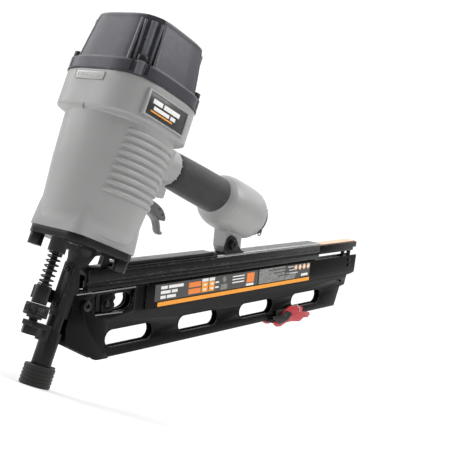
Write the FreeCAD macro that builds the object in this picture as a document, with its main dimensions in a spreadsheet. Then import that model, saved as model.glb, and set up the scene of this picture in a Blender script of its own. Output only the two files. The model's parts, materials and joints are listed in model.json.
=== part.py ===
import FreeCAD, Part
import os
import re
import Sketcher

# Pneumatic strip nailer. +Z runs up the driver's axis from the nose, +X to the rear along
# the handle, and the origin is the centre of the mouth that the nail leaves by.
# All sizes are in millimetres.

SIZES = {
    # heights along the driver's axis
    "plate_bottom": 130, "plate_top": 137.2, "barrel_top": 246, "head_bottom": 249,
    "head_top": 282.4, "cap_bottom": 283.2, "flange_top": 296, "cap_shoulder": 340, "cap_top": 343,
    # outlines seen from above, as half widths and corner radii
    "base_half_x": 40.6, "base_half_y": 34.8, "base_corner": 15,
    "barrel_half": 47.6, "barrel_corner": 38, "head_half_x": 52.3, "head_half_y": 53.1, "head_corner": 27,
    "cap_low_half": 48.5, "cap_high_half": 44, "cap_corner": 26, "crown_half": 34, "crown_corner": 20,
    "plate_start": -33, "plate_stop": 27, "plate_thick": 1.8, "badge_low": 252.5, "badge_high": 277,
    # cylinder, piston and head valve
    "bore": 26, "sleeve_outer": 29, "sleeve_bottom": 139.5, "sleeve_top": 276, "chamber_low": 30,
    "chamber_high": 36, "shoulder": 180, "bumper_top": 156, "piston_bottom": 262.5, "piston_top": 274.5,
    "blade_radius": 3.6, "blade_tip": 112, "channel_radius": 4.2, "running_gap": 0.05,
    "valve_bore": 32, "valve_bottom": 276.3, "valve_top": 298, "valve_roof": 318, "post_radius": 9,
    "post_bottom": 305, "exhaust_floor": 322, "exhaust_roof": 338, "exhaust_radius": 37,
    "deflector_radius": 20, "port_circle": 15, "port_radius": 3.4, "chamber_top": 43.4, "chamber_head": 46,
    # handle, grip and rear end
    "handle_z": 236, "collar_radius": 19, "collar_end": 79.6, "grip_end": 167.7, "tube_radius": 16.9,
    "grip_inner": 16.95, "grip_front": 18.4, "grip_rear": 20.4, "air_bore": 12.5, "bulge_z": 233.5,
    "bulge_radius": 29.7, "bulge_end": 237, "bulge_bore": 20, "inlet_radius": 5.7, "inlet_end": 250,
    "end_flange_radius": 21, "end_screw_circle": 16.8,
    # trigger and its valve
    "bracket_low": 203, "bracket_rear": 75, "bracket_half": 11, "stem_x": 63, "stem_radius": 2.5,
    "valve_body_radius": 8, "pivot_x": 56, "pivot_z": 192.5, "ear_front": 52, "ear_inner": 7.2,
    "trigger_half": 6.6, "lever_half": 3.4, "channel_half": 3.9, "lever_pin_x": 80, "lever_pin_z": 193.5,
    # nose, contact arm and depth adjuster
    "nose_end": 35, "nose_square": 64, "nose_half": 6.15, "nose_front": 5, "nose_back": 11.5, "cheek_rear": 32,
    "cheek_low": 66, "cheek_high": 94, "nose_round": 7, "screw_x": 31, "screw_y": 25,
    "column_x": -26, "rod_radius": 3, "rod_top": 126, "boss_bottom": 118, "boss_radius": 8,
    "barrel_low": 70.3, "barrel_high": 87, "barrel_radius": 7, "wheel_low": 59, "wheel_high": 70,
    "wheel_radius": 11, "neck_radius": 4, "arm_low": 50, "arm_high": 54.5, "tube_outer": 9.2,
    "tube_inner": 7.4, "foot_radius": 14.4, "foot_top": 18.8, "exit_radius": 6, "foot_floor": 4,
    "link_y": 12.5, "link_thick": 3, "link_low": 74, "link_high": 86, "riser_front": 46.8, "riser_rear": 51,
    "finger_low": 184, "finger_high": 188,
    # magazine, in its own frame: x along the rail, z square to it
    "magazine_angle": 19.7, "clasp_y": 7.3, "panel_y": 6.8, "side_y": 4.2, "sheet_thick": 1.1,
    "plate_low": 12.8, "plate_high": 79.9, "web_start": 65, "clasp_end": 115, "panel_start": 131,
    "panel_low": 53.6, "panel_end": 547.7,
    "slot_radius": 8.5, "slot_up": 31, "slot_pitch": 106.6, "first_slot": 88.9, "slot_straight": 49.8,
    "rail_start": 48, "rail_end": 446, "rail_low": 82.2, "rail_high": 102, "rail_half": 10,
    "nail_slot_half": 2.4, "head_slot_half": 4.5, "head_slot_low": 91, "head_slot_high": 96,
    "post_x": 37.3, "post_width": 3.2, "cover_start": 83, "cover_end": 232, "cover_high": 105.5,
    "end_block_end": 541, "end_block_low": 87, "end_block_high": 98.5, "strip_high": 99.7,
    "front_screw_along": 47.8, "front_screw_up": 68.9, "hole_start": 87.3, "hole_end": 112.5,
    "hole_low": 57.5, "hole_high": 74.8, "window_start": 60, "window_end": 113.5, "window_low": 57,
    "window_high": 78.2, "cover_screw_along": 78.1, "cover_screw_up": 66.5, "tail_screw_along": 529.4,
    "tail_block_start": 526, "tail_block_low": 57, "lug_start": 251, "lug_end": 277, "lug_half": 10,
    "bolt_along": 256, "bolt_up": 113, "ear_radius": 10, "bolt_radius": 3,
    "label_start": 144.2, "label_end": 433.6, "label_low": 55, "label_high": 78.5, "label_thick": 0.3,
    # pusher
    "pusher_front": 366, "pusher_rear": 398, "pusher_low": 7.2, "pusher_high": 24, "pusher_inner": 5.4,
    "pusher_side": 7, "pusher_gap": 0.4, "blade_front": 376, "blade_rear": 400, "blade_half": 2.8,
    "blade_high": 78, "arm_front": 290, "arm_low_up": 44, "drum_along": 412, "drum_up": 62,
    "drum_radius": 4.5, "coil_radius": 9, "coil_half": 2.1, "lever_pivot_along": 384.5,
    "lever_pivot_up": 16.3, "lever_inner": 7.3, "lever_side": 9.2, "cap_inner": 9.5, "cap_side": 10.8,
}

Vector = FreeCAD.Vector
Rotation = FreeCAD.Rotation
Placement = FreeCAD.Placement

doc = FreeCAD.newDocument("strip_nailer")
sheet = doc.addObject("Spreadsheet::Sheet", "Dims")
for row, (alias, number) in enumerate(SIZES.items(), start=1):
    sheet.set("A%d" % row, alias)
    sheet.set("B%d" % row, str(number))
    sheet.setAlias("B%d" % row, alias)
doc.recompute()

nodes = []


def formula(text):
    """Point every sheet name in a formula at the sheet."""
    return re.sub(r"[a-z]\w*", lambda word: "Dims." + word.group(), str(text))


def number(text):
    """The present value of a formula of sheet names."""
    return float(sheet.evalExpression(formula(text)))


def bind(target, prop, text):
    """Drive one property of an object by a formula of sheet names."""
    target.setExpression(prop, formula(text))


def node(label, shape):
    """Name a finished piece, which makes it one of the assembly's sub-parts."""
    shape.Label = label
    nodes.append(shape)
    return shape


# ---------------------------------------------------------------- solid primitives

AXIS_TURN = {
    "x": Rotation(Vector(0, 1, 0), 90),
    "y": Rotation(Vector(1, 0, 0), -90),
    "z": Rotation(),
}


def block(x, y, z):
    """A box between two formulas on each axis."""
    solid = doc.addObject("Part::Box", "block")
    for axis, side, (low, high) in zip("xyz", ("Length", "Width", "Height"), (x, y, z)):
        bind(solid, "Placement.Base." + axis, low)
        bind(solid, side, "(%s) - (%s)" % (high, low))
    return solid


def place_on_axis(solid, axis, at, low):
    """Stand a solid that grows along Z on a line along an axis, at its two other coordinates."""
    solid.Placement = Placement(Vector(), AXIS_TURN[axis])
    others = [name for name in "xyz" if name != axis]
    bind(solid, "Placement.Base." + axis, low)
    for name, text in zip(others, at):
        bind(solid, "Placement.Base." + name, text)


def rod(axis, at, radius, low, high):
    """A cylinder along an axis from low to high."""
    solid = doc.addObject("Part::Cylinder", "rod")
    place_on_axis(solid, axis, at, low)
    bind(solid, "Radius", radius)
    bind(solid, "Height", "(%s) - (%s)" % (high, low))
    return solid


def taper(axis, at, radius_low, radius_high, low, high):
    """A cone along an axis from low to high."""
    solid = doc.addObject("Part::Cone", "taper")
    place_on_axis(solid, axis, at, low)
    bind(solid, "Radius1", radius_low)
    bind(solid, "Radius2", radius_high)
    bind(solid, "Height", "(%s) - (%s)" % (high, low))
    return solid


def hexagon(axis, at, across_flats, low, high):
    """A hexagonal bar along an axis, sized across its flats."""
    solid = doc.addObject("Part::Prism", "hexagon")
    place_on_axis(solid, axis, at, low)
    solid.Polygon = 6
    bind(solid, "Circumradius", "(%s) * 0.57735" % across_flats)
    bind(solid, "Height", "(%s) - (%s)" % (high, low))
    return solid


def ring(axis, at, radius, wire, along):
    """A torus round an axis, such as a sealing ring."""
    solid = doc.addObject("Part::Torus", "ring")
    place_on_axis(solid, axis, at, along)
    bind(solid, "Radius1", radius)
    bind(solid, "Radius2", wire)
    return solid


def join(*solids):
    """One shape of several: fused where they touch, a group of solids where they don't."""
    if len(solids) == 1:
        return solids[0]
    fused = doc.addObject("Part::MultiFuse", "join")
    fused.Shapes = list(solids)
    return fused


def cut(base, *tools):
    """A shape less one or more tools."""
    result = doc.addObject("Part::Cut", "cut")
    result.Base = base
    result.Tool = join(*tools)
    return result


# ---------------------------------------------------------------- sketched bodies


def new_body(name):
    return doc.addObject("PartDesign::Body", name)


def new_sketch(body, role, offset="0"):
    """A sketch on one of the body's own origin planes, moved off it by a formula."""
    plane = [feature for feature in body.Origin.OriginFeatures if feature.Role == role][0]
    sketch = body.newObject("Sketcher::SketchObject", "outline")
    sketch.AttachmentSupport = [(plane, "")]
    sketch.MapMode = "FlatFace"
    bind(sketch, "AttachmentOffset.Base.z", offset)
    return sketch


def polygon(sketch, points):
    """A closed outline whose every corner is held by two formulas."""
    first = sketch.GeometryCount
    corners = [Vector(number(x), number(y), 0) for x, y in points]
    for start, end in zip(corners, corners[1:] + corners[:1]):
        sketch.addGeometry(Part.LineSegment(start, end), False)
    for index in range(len(points)):
        after = first + (index + 1) % len(points)
        sketch.addConstraint(Sketcher.Constraint("Coincident", first + index, 2, after, 1))
    for index, point in enumerate(points):
        for kind, text in zip(("DistanceX", "DistanceY"), point):
            held = Sketcher.Constraint(kind, -1, 1, first + index, 1, number(text))
            name = "%s_%d" % (kind, first + index)
            sketch.renameConstraint(sketch.addConstraint(held), name)
            bind(sketch, "Constraints." + name, text)


def rounded_rectangle(sketch, half_x, half_y, corner):
    """A rectangle about the sketch's origin with four round corners."""
    wide, deep, radius = number(half_x), number(half_y), number(corner)
    quarter = 1.5707963
    centres = [(wide - radius, deep - radius), (radius - wide, deep - radius),
               (radius - wide, radius - deep), (wide - radius, radius - deep)]
    for index, (x, y) in enumerate(centres):
        circle = Part.Circle(Vector(x, y, 0), Vector(0, 0, 1), radius)
        sketch.addGeometry(Part.ArcOfCircle(circle, quarter * index, quarter * (index + 1)), False)
    for index in range(4):
        arc = sketch.Geometry[index]
        after = sketch.Geometry[(index + 1) % 4]
        line = Part.LineSegment(arc.EndPoint, after.StartPoint)
        added = sketch.addGeometry(line, False)
        sketch.addConstraint(Sketcher.Constraint("Tangent", index, 2, added, 1))
        sketch.addConstraint(Sketcher.Constraint("Tangent", added, 2, (index + 1) % 4, 1))
    for index in range(1, 4):
        sketch.addConstraint(Sketcher.Constraint("Equal", 0, index))
    sizes = [("Radius", (0, radius), corner),
             ("DistanceX", (-1, 1, 0, 3, wide - radius), "(%s) - (%s)" % (half_x, corner)),
             ("DistanceY", (-1, 1, 0, 3, deep - radius), "(%s) - (%s)" % (half_y, corner)),
             ("DistanceX", (-1, 1, 2, 3, radius - wide), "(%s) - (%s)" % (corner, half_x)),
             ("DistanceY", (-1, 1, 2, 3, radius - deep), "(%s) - (%s)" % (corner, half_y))]
    for index, (kind, held, text) in enumerate(sizes):
        name = "size_%d" % index
        sketch.renameConstraint(sketch.addConstraint(Sketcher.Constraint(kind, *held)), name)
        bind(sketch, "Constraints." + name, text)


def lofted(*sections):
    """A body through round-cornered sections, each (half x, half y, corner, height)."""
    body = new_body("lofted")
    sketches = []
    for half_x, half_y, corner, height in sections:
        sketch = new_sketch(body, "XY_Plane", height)
        rounded_rectangle(sketch, half_x, half_y, corner)
        sketches.append(sketch)
    loft = body.newObject("PartDesign::AdditiveLoft", "loft")
    loft.Profile = sketches[0]
    loft.Sections = sketches[1:]
    loft.Ruled = True
    return body


def turned(points, axis="z"):
    """A body turned about Z, or about X, from (radius, height) or (x, radius) points."""
    body = new_body("turned")
    sketch = new_sketch(body, "XZ_Plane")
    polygon(sketch, points)
    turn = body.newObject("PartDesign::Revolution", "turn")
    turn.Profile = sketch
    turn.ReferenceAxis = (sketch, ["V_Axis" if axis == "z" else "H_Axis"])
    turn.Angle = 360
    return body


def slab(points, low, high):
    """A flat body with an outline in X and Z, between two heights in Y."""
    body = new_body("slab")
    sketch = new_sketch(body, "XZ_Plane", "-(%s)" % high)
    polygon(sketch, points)
    pad = body.newObject("PartDesign::Pad", "pad")
    pad.Profile = sketch
    bind(pad, "Length", "(%s) - (%s)" % (high, low))
    return body


def coil_spring(at_x, mean_radius, wire_radius, low, high, turns):
    """A wire with an eight-sided section wound round a vertical line."""
    body = new_body("coil")
    sketch = new_sketch(body, "XZ_Plane")
    corners = [Rotation(Vector(0, 0, 1), 45.0 * index).multVec(Vector(1, 0, 0)) for index in range(8)]
    polygon(sketch, [("%s + (%s) * %.5f" % (mean_radius, wire_radius, corner.x),
                      "(%s) * %.5f" % (wire_radius, corner.y)) for corner in corners])
    coil = body.newObject("PartDesign::AdditiveHelix", "coil")
    coil.Profile = sketch
    coil.ReferenceAxis = (sketch, ["V_Axis"])
    coil.Mode = "pitch-height-angle"
    bind(coil, "Height", "(%s) - (%s)" % (high, low))
    bind(coil, "Pitch", "((%s) - (%s)) / %s" % (high, low, turns))
    bind(body, "Placement.Base.x", at_x)
    bind(body, "Placement.Base.z", low)
    return body


def on_magazine(shape):
    """Lean a shape that was made in the magazine's own frame."""
    leaned = doc.addObject("Part::Compound", "leaned")
    leaned.Links = [shape]
    leaned.Placement = Placement(Vector(), Rotation(Vector(0, 1, 0), -number("magazine_angle")))
    bind(leaned, "Placement.Rotation.Angle", "-magazine_angle")
    return leaned


def socket_screws(axis, places, head, head_low, head_high, shank, shank_end, key):
    """Equal socket-head screws along an axis. The key's hexagon opens on the far side of the head."""
    solids = []
    sockets = []
    outward = "head_high" if number(head_high) > number(shank_end) else "head_low"
    if outward == "head_high":
        shank_span = (shank_end, head_low)
        socket_span = ("(%s) - 0.6 * (%s)" % (head_high, key), "(%s) + 1" % head_high)
    else:
        shank_span = (head_high, shank_end)
        socket_span = ("(%s) - 1" % head_low, "(%s) + 0.6 * (%s)" % (head_low, key))
    for place in places:
        solids.append(rod(axis, place, head, head_low, head_high))
        solids.append(rod(axis, place, shank, *shank_span))
        sockets.append(hexagon(axis, place, key, *socket_span))
    return cut(join(*solids), *sockets)


def mirrored_pairs(x, y):
    """The four corners of a rectangle about the driver's axis."""
    return [(x, y), (x, "-(%s)" % y), ("-(%s)" % x, y), ("-(%s)" % x, "-(%s)" % y)]


# ---------------------------------------------------------------- housing and what is fixed to it

head_screw_places = mirrored_pairs("head_half_x - 12.5", "head_half_y - 12.8")
nose_screw_places = mirrored_pairs("screw_x", "screw_y")
flush_screw_place = nose_screw_places[3]
tail_screw_heights = ("66", "74")


def ring_places(count, circle):
    """Places evenly round a circle, as (cosine, sine) formulas."""
    angles = [360.0 * index / count + 45 for index in range(count)]
    turns = [Rotation(Vector(0, 0, 1), angle).multVec(Vector(1, 0, 0)) for angle in angles]
    return [("(%s) * %.5f" % (circle, turn.x), "(%s) * %.5f" % (circle, turn.y)) for turn in turns]


end_screw_places = [(y, "bulge_z + " + z) for y, z in ring_places(4, "end_screw_circle")]


def make_housing():
    barrel = lofted(("base_half_x", "base_half_y", "base_corner", "plate_top"),
                    ("barrel_half", "barrel_half", "barrel_corner", "barrel_top"))
    head = lofted(("barrel_half", "barrel_half", "barrel_corner", "barrel_top - 2"),
                  ("head_half_x", "head_half_y", "head_corner", "head_bottom"),
                  ("head_half_x", "head_half_y", "head_corner", "head_top"))
    handle = turned([("30", "0"), ("30", "collar_radius"), ("collar_end", "collar_radius"),
                     ("collar_end", "tube_radius"), ("grip_end", "tube_radius"), ("grip_end", "0")], "x")
    bind(handle, "Placement.Base.z", "handle_z")
    bulge = turned([("grip_end", "0"), ("grip_end", "tube_radius"), ("grip_end + 4", "21.5"),
                    ("grip_end + 16", "27.5"), ("grip_end + 28", "bulge_radius"),
                    ("bulge_end - 20", "bulge_radius"), ("bulge_end - 8", "27.5"),
                    ("bulge_end", "end_flange_radius + 0.5"), ("bulge_end", "0")], "x")
    bind(bulge, "Placement.Base.z", "bulge_z")
    bracket = block(("38", "bracket_rear"), ("-bracket_half", "bracket_half"), ("bracket_low", "handle_z - 8"))
    ears = [block(("ear_front", "ear_front + 9"), span, ("pivot_z - 6", "bracket_low + 1"))
            for span in (("ear_inner", "bracket_half"), ("-bracket_half", "-ear_inner"))]
    lug = on_magazine(block(("lug_start", "lug_end"), ("-lug_half", "lug_half"), ("rail_high + 3", "138")))
    chambers = [rod("z", ("0", "0"), "chamber_low", "plate_top - 1", "head_top"),
                taper("z", ("0", "0"), "chamber_high", "chamber_top", "shoulder", "barrel_top"),
                taper("z", ("0", "0"), "chamber_top", "chamber_head", "barrel_top", "barrel_top + 6"),
                rod("z", ("0", "0"), "chamber_head", "barrel_top + 6", "head_top + 1"),
                rod("x", ("0", "handle_z"), "air_bore", "30", "grip_end + 20"),
                rod("x", ("0", "bulge_z"), "bulge_bore", "grip_end + 14", "bulge_end - 12"),
                rod("x", ("0", "bulge_z"), "inlet_radius + 6.3 + running_gap", "grip_end + 14", "bulge_end + 1"),
                rod("z", ("stem_x", "0"), "valve_body_radius + running_gap", "bracket_low - 1", "handle_z"),
                rod("y", ("pivot_x", "pivot_z"), "2.05", "-bracket_half - 1", "bracket_half + 1")]
    bolt_hole = on_magazine(rod("y", ("bolt_along", "bolt_up"), "bolt_radius + running_gap", "-30", "30"))
    screws = [rod("z", place, "3.05", "head_top - 20", "head_top + 1") for place in head_screw_places]
    screws += [rod("z", place, "4.05", "plate_top - 1", "plate_top + 16") for place in nose_screw_places]
    screws += [rod("x", place, "2.05", "bulge_end - 9", "bulge_end + 1") for place in end_screw_places]
    outside = join(barrel, head, handle, bulge, bracket, lug, *ears)
    node("housing", cut(outside, bolt_hole, *chambers, *screws))


def make_top_cap():
    flange = lofted(("head_half_x", "head_half_y", "head_corner", "cap_bottom"),
                    ("head_half_x", "head_half_y", "head_corner", "flange_top"))
    dome = lofted(("cap_low_half", "cap_low_half", "cap_corner", "flange_top - 1"),
                  ("cap_high_half", "cap_high_half", "cap_corner", "cap_shoulder"),
                  ("crown_half", "crown_half", "crown_corner", "cap_top"))
    recesses = [rod("z", place, "9.5", "flange_top", "cap_top + 1") for place in head_screw_places]
    clearance = [rod("z", place, "3.1", "cap_bottom - 1", "flange_top + 1") for place in head_screw_places]
    valve_space = cut(rod("z", ("0", "0"), "valve_bore", "cap_bottom - 1", "valve_roof"),
                      rod("z", ("0", "0"), "post_radius", "post_bottom", "valve_roof + 1"))
    exhaust_space = cut(rod("z", ("0", "0"), "exhaust_radius", "exhaust_floor", "exhaust_roof"),
                        rod("z", ("0", "0"), "post_radius", "exhaust_floor - 1", "exhaust_roof + 1"))
    ports = [rod("z", place, "port_radius", "valve_roof - 1", "cap_top + 1")
             for place in ring_places(6, "port_circle")]
    screw_hole = rod("z", ("0", "0"), "3.05", "cap_top - 14", "cap_top + 1")
    node("top_cap", cut(join(flange, dome), valve_space, exhaust_space, screw_hole,
                        *recesses, *clearance, *ports))
    sheet_seal = lofted(("head_half_x - 0.4", "head_half_y - 0.4", "head_corner", "head_top"),
                        ("head_half_x - 0.4", "head_half_y - 0.4", "head_corner", "cap_bottom"))
    holes = [rod("z", place, "3.3", "head_top - 1", "cap_bottom + 1") for place in head_screw_places]
    opening = rod("z", ("0", "0"), "chamber_head", "head_top - 1", "cap_bottom + 1")
    node("cap_gasket", cut(sheet_seal, opening, *holes))
    node("cap_screws", socket_screws("z", head_screw_places, "5", "flange_top", "flange_top + 6",
                                     "3", "head_top - 18", "5"))


def make_cylinder():
    sleeve = turned([("bore", "sleeve_bottom"), ("sleeve_outer", "sleeve_bottom"),
                     ("sleeve_outer", "shoulder + 0.2"), ("chamber_high - 0.2", "shoulder + 0.2"),
                     ("chamber_high - 0.2", "shoulder + 4"), ("sleeve_outer", "shoulder + 4"),
                     ("sleeve_outer", "sleeve_top"), ("bore", "sleeve_top")])
    grooves = [cut(rod("z", ("0", "0"), "sleeve_outer + 1", low, low + " + 3"),
                   rod("z", ("0", "0"), "sleeve_outer - 1.5", low + " - 1", low + " + 4"))
               for low in ("shoulder - 12", "shoulder - 30")]
    node("cylinder_sleeve", cut(sleeve, *grooves))
    node("cylinder_seals", join(*[ring("z", ("0", "0"), "sleeve_outer - 0.25", "1.2", low + " + 1.5")
                                  for low in ("shoulder - 12", "shoulder - 30")]))
    node("piston_bumper", turned([("8", "sleeve_bottom - 2"), ("bore - 0.3", "sleeve_bottom - 2"),
                                  ("bore - 0.3", "bumper_top - 4"), ("bore - 6", "bumper_top"),
                                  ("11", "bumper_top"), ("8", "bumper_top - 3")]))


def make_piston():
    piston = turned([("blade_radius + running_gap", "piston_bottom"), ("bore - 4", "piston_bottom"),
                     ("bore - running_gap", "piston_bottom + 3"), ("bore - running_gap", "piston_top"),
                     ("bore - 6", "piston_top"), ("bore - 9", "piston_top - 4"), ("10", "piston_top - 4"),
                     ("10", "piston_top - 1"), ("blade_radius + running_gap", "piston_top - 1")])
    groove = cut(rod("z", ("0", "0"), "bore + 1", "piston_bottom + 5", "piston_bottom + 8.2"),
                 rod("z", ("0", "0"), "bore - 3", "piston_bottom + 4", "piston_bottom + 9"))
    node("piston", cut(piston, groove))
    node("piston_ring", ring("z", ("0", "0"), "bore - 1.45", "1.35", "piston_bottom + 6.6"))
    node("driver_blade", cut(rod("z", ("0", "0"), "blade_radius", "blade_tip", "piston_top - 1.5"),
                             block(("-6", "-2.6"), ("-6", "6"), ("blade_tip - 1", "piston_bottom - 12"))))


def make_head_valve():
    valve = turned([("16", "valve_bottom"), ("bore + 4", "valve_bottom"), ("bore + 4", "valve_bottom + 4"),
                    ("valve_bore - running_gap", "valve_bottom + 8"), ("valve_bore - running_gap", "valve_top"),
                    ("20", "valve_top"), ("20", "valve_bottom + 7"), ("16", "valve_bottom + 7")])
    groove = cut(rod("z", ("0", "0"), "valve_bore + 1", "valve_top - 8", "valve_top - 4.8"),
                 rod("z", ("0", "0"), "valve_bore - 3", "valve_top - 9", "valve_top - 4"))
    node("head_valve", cut(valve, groove))
    node("head_valve_seal", ring("z", ("0", "0"), "valve_bore - 1.5", "1.35", "valve_top - 6.4"))
    node("head_valve_spring", coil_spring("0", "26", "1.1", "valve_top + 1.4", "valve_roof - 1.4", "4"))


def make_deflector():
    disc = turned([("0", "cap_top + 0.4"), ("deflector_radius", "cap_top + 0.4"),
                   ("deflector_radius", "cap_top + 2.8"), ("deflector_radius - 3", "cap_top + 4.2"),
                   ("0", "cap_top + 4.2")])
    snout = block(("-27", "-12"), ("-12", "12"), ("cap_top + 0.4", "cap_top + 4"))
    throat = block(("-28", "0"), ("-9.5", "9.5"), ("cap_top", "cap_top + 2.6"))
    well = rod("z", ("0", "0"), "deflector_radius - 3.5", "cap_top", "cap_top + 2.6")
    hub = rod("z", ("0", "0"), "7", "cap_top + 0.4", "cap_top + 3")
    shell = cut(join(disc, snout), well, throat)
    node("exhaust_deflector", cut(join(shell, hub), rod("z", ("0", "0"), "3.1", "cap_top - 1", "cap_top + 7"),
                                  rod("z", ("0", "0"), "6.2", "cap_top + 2.2", "cap_top + 7")))
    node("deflector_screw", socket_screws("z", [("0", "0")], "5.8", "cap_top + 2.3", "cap_top + 4.6",
                                          "3", "cap_top - 12", "3"))


def make_handle_fittings():
    node("grip_sleeve", turned([("collar_end + 0.2", "grip_inner"), ("collar_end + 0.2", "grip_front"),
                                ("grip_end - 0.2", "grip_rear"), ("grip_end - 0.2", "grip_inner")], "x"))
    nodes[-1].setExpression("Placement.Base.z", formula("handle_z"))
    flange = rod("x", ("0", "bulge_z"), "end_flange_radius", "bulge_end + 1", "bulge_end + 5")
    spigot = rod("x", ("0", "bulge_z"), "inlet_radius + 6.3", "bulge_end - 8", "bulge_end + 5")
    hexagonal = hexagon("x", ("0", "bulge_z"), "22", "bulge_end + 4", "inlet_end")
    bore = rod("x", ("0", "bulge_z"), "inlet_radius", "bulge_end - 9", "inlet_end + 1")
    holes = [rod("x", place, "2.1", "bulge_end", "bulge_end + 6") for place in end_screw_places]
    node("end_cap", cut(join(flange, spigot, hexagonal), bore, *holes))
    seal = rod("x", ("0", "bulge_z"), "end_flange_radius - 0.3", "bulge_end", "bulge_end + 1")
    inside = rod("x", ("0", "bulge_z"), "inlet_radius + 6.5", "bulge_end - 1", "bulge_end + 2")
    seal_holes = [rod("x", place, "2.3", "bulge_end - 1", "bulge_end + 2") for place in end_screw_places]
    node("end_cap_seal", cut(seal, inside, *seal_holes))
    node("end_cap_screws", socket_screws("x", end_screw_places, "3.5", "bulge_end + 5", "bulge_end + 9",
                                         "2", "bulge_end - 8", "3"))


def make_badges():
    sides = [block(("plate_start", "plate_stop"), span, ("badge_low", "badge_high"))
             for span in (("-head_half_y - plate_thick", "-head_half_y + 4"),
                          ("head_half_y - 4", "head_half_y + plate_thick"))]
    head = lofted(("head_half_x", "head_half_y", "head_corner", "badge_low - 1"),
                  ("head_half_x", "head_half_y", "head_corner", "badge_high + 1"))
    node("name_plates", cut(join(*sides), head))
    node("front_plate", block(("-head_half_x - 1.4", "-head_half_x"), ("-14", "21.5"), ("273.2", "280.2")))


# ---------------------------------------------------------------- trigger group


def make_trigger_group():
    body = turned([("stem_radius + running_gap", "bracket_low + 2"), ("valve_body_radius", "bracket_low + 2"),
                   ("valve_body_radius", "handle_z - 4"), ("0", "handle_z - 4"), ("0", "handle_z - 6"),
                   ("5", "handle_z - 6"), ("5", "212"), ("stem_radius + running_gap", "212")])
    bind(body, "Placement.Base.x", "stem_x")
    node("trigger_valve_body", body)
    stem = turned([("0", "201.5"), ("stem_radius", "201.5"), ("stem_radius", "214"), ("4.8", "214"),
                   ("4.8", "217"), ("2", "217"), ("2", "219"), ("0", "219")])
    bind(stem, "Placement.Base.x", "stem_x")
    node("trigger_valve_stem", stem)
    node("trigger_valve_spring", coil_spring("stem_x", "3.6", "0.4", "217.5", "handle_z - 6.6", "4"))
    lever = slab([("ear_front - 0.5", "187"), ("64", "187"), ("77", "186.8"), ("84", "184.6"),
                  ("88.5", "180.5"), ("91.5", "173"), ("94.5", "170.8"), ("98", "172.2"), ("98.2", "175.5"),
                  ("95.5", "184"), ("90.5", "191"), ("82", "196"), ("72", "198"), ("62", "198.4"),
                  ("ear_front - 0.5", "195")],
                 "-trigger_half", "trigger_half")
    channel = block(("40", "85"), ("-channel_half", "channel_half"), ("189.2", "210"))
    pivot_hole = rod("y", ("pivot_x", "pivot_z"), "2.05", "-20", "20")
    lever_hole = rod("y", ("lever_pin_x", "lever_pin_z"), "1.25", "-20", "20")
    node("trigger", cut(lever, channel, pivot_hole, lever_hole))
    node("trigger_pin", rod("y", ("pivot_x", "pivot_z"), "2", "-bracket_half - 0.6", "bracket_half + 0.6"))
    coil = cut(rod("y", ("pivot_x", "pivot_z"), "3.2", "-3.4", "3.4"),
               rod("y", ("pivot_x", "pivot_z"), "2.2", "-4", "4"))
    node("trigger_spring", coil)
    trip = slab([("riser_front + 0.4", "197.6"), ("62", "196.6"), ("74", "194.6"), ("lever_pin_x - 2", "191.6"),
                 ("lever_pin_x + 2.4", "191.6"), ("lever_pin_x + 2.4", "195.6"), ("66", "199"),
                 ("riser_front + 0.4", "199.4")], "-lever_half", "lever_half")
    node("trip_lever", cut(trip, rod("y", ("lever_pin_x", "lever_pin_z"), "1.25", "-20", "20")))
    node("trip_lever_pin", rod("y", ("lever_pin_x", "lever_pin_z"), "1.2", "-trigger_half", "trigger_half"))


# ---------------------------------------------------------------- nose and contact group


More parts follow.
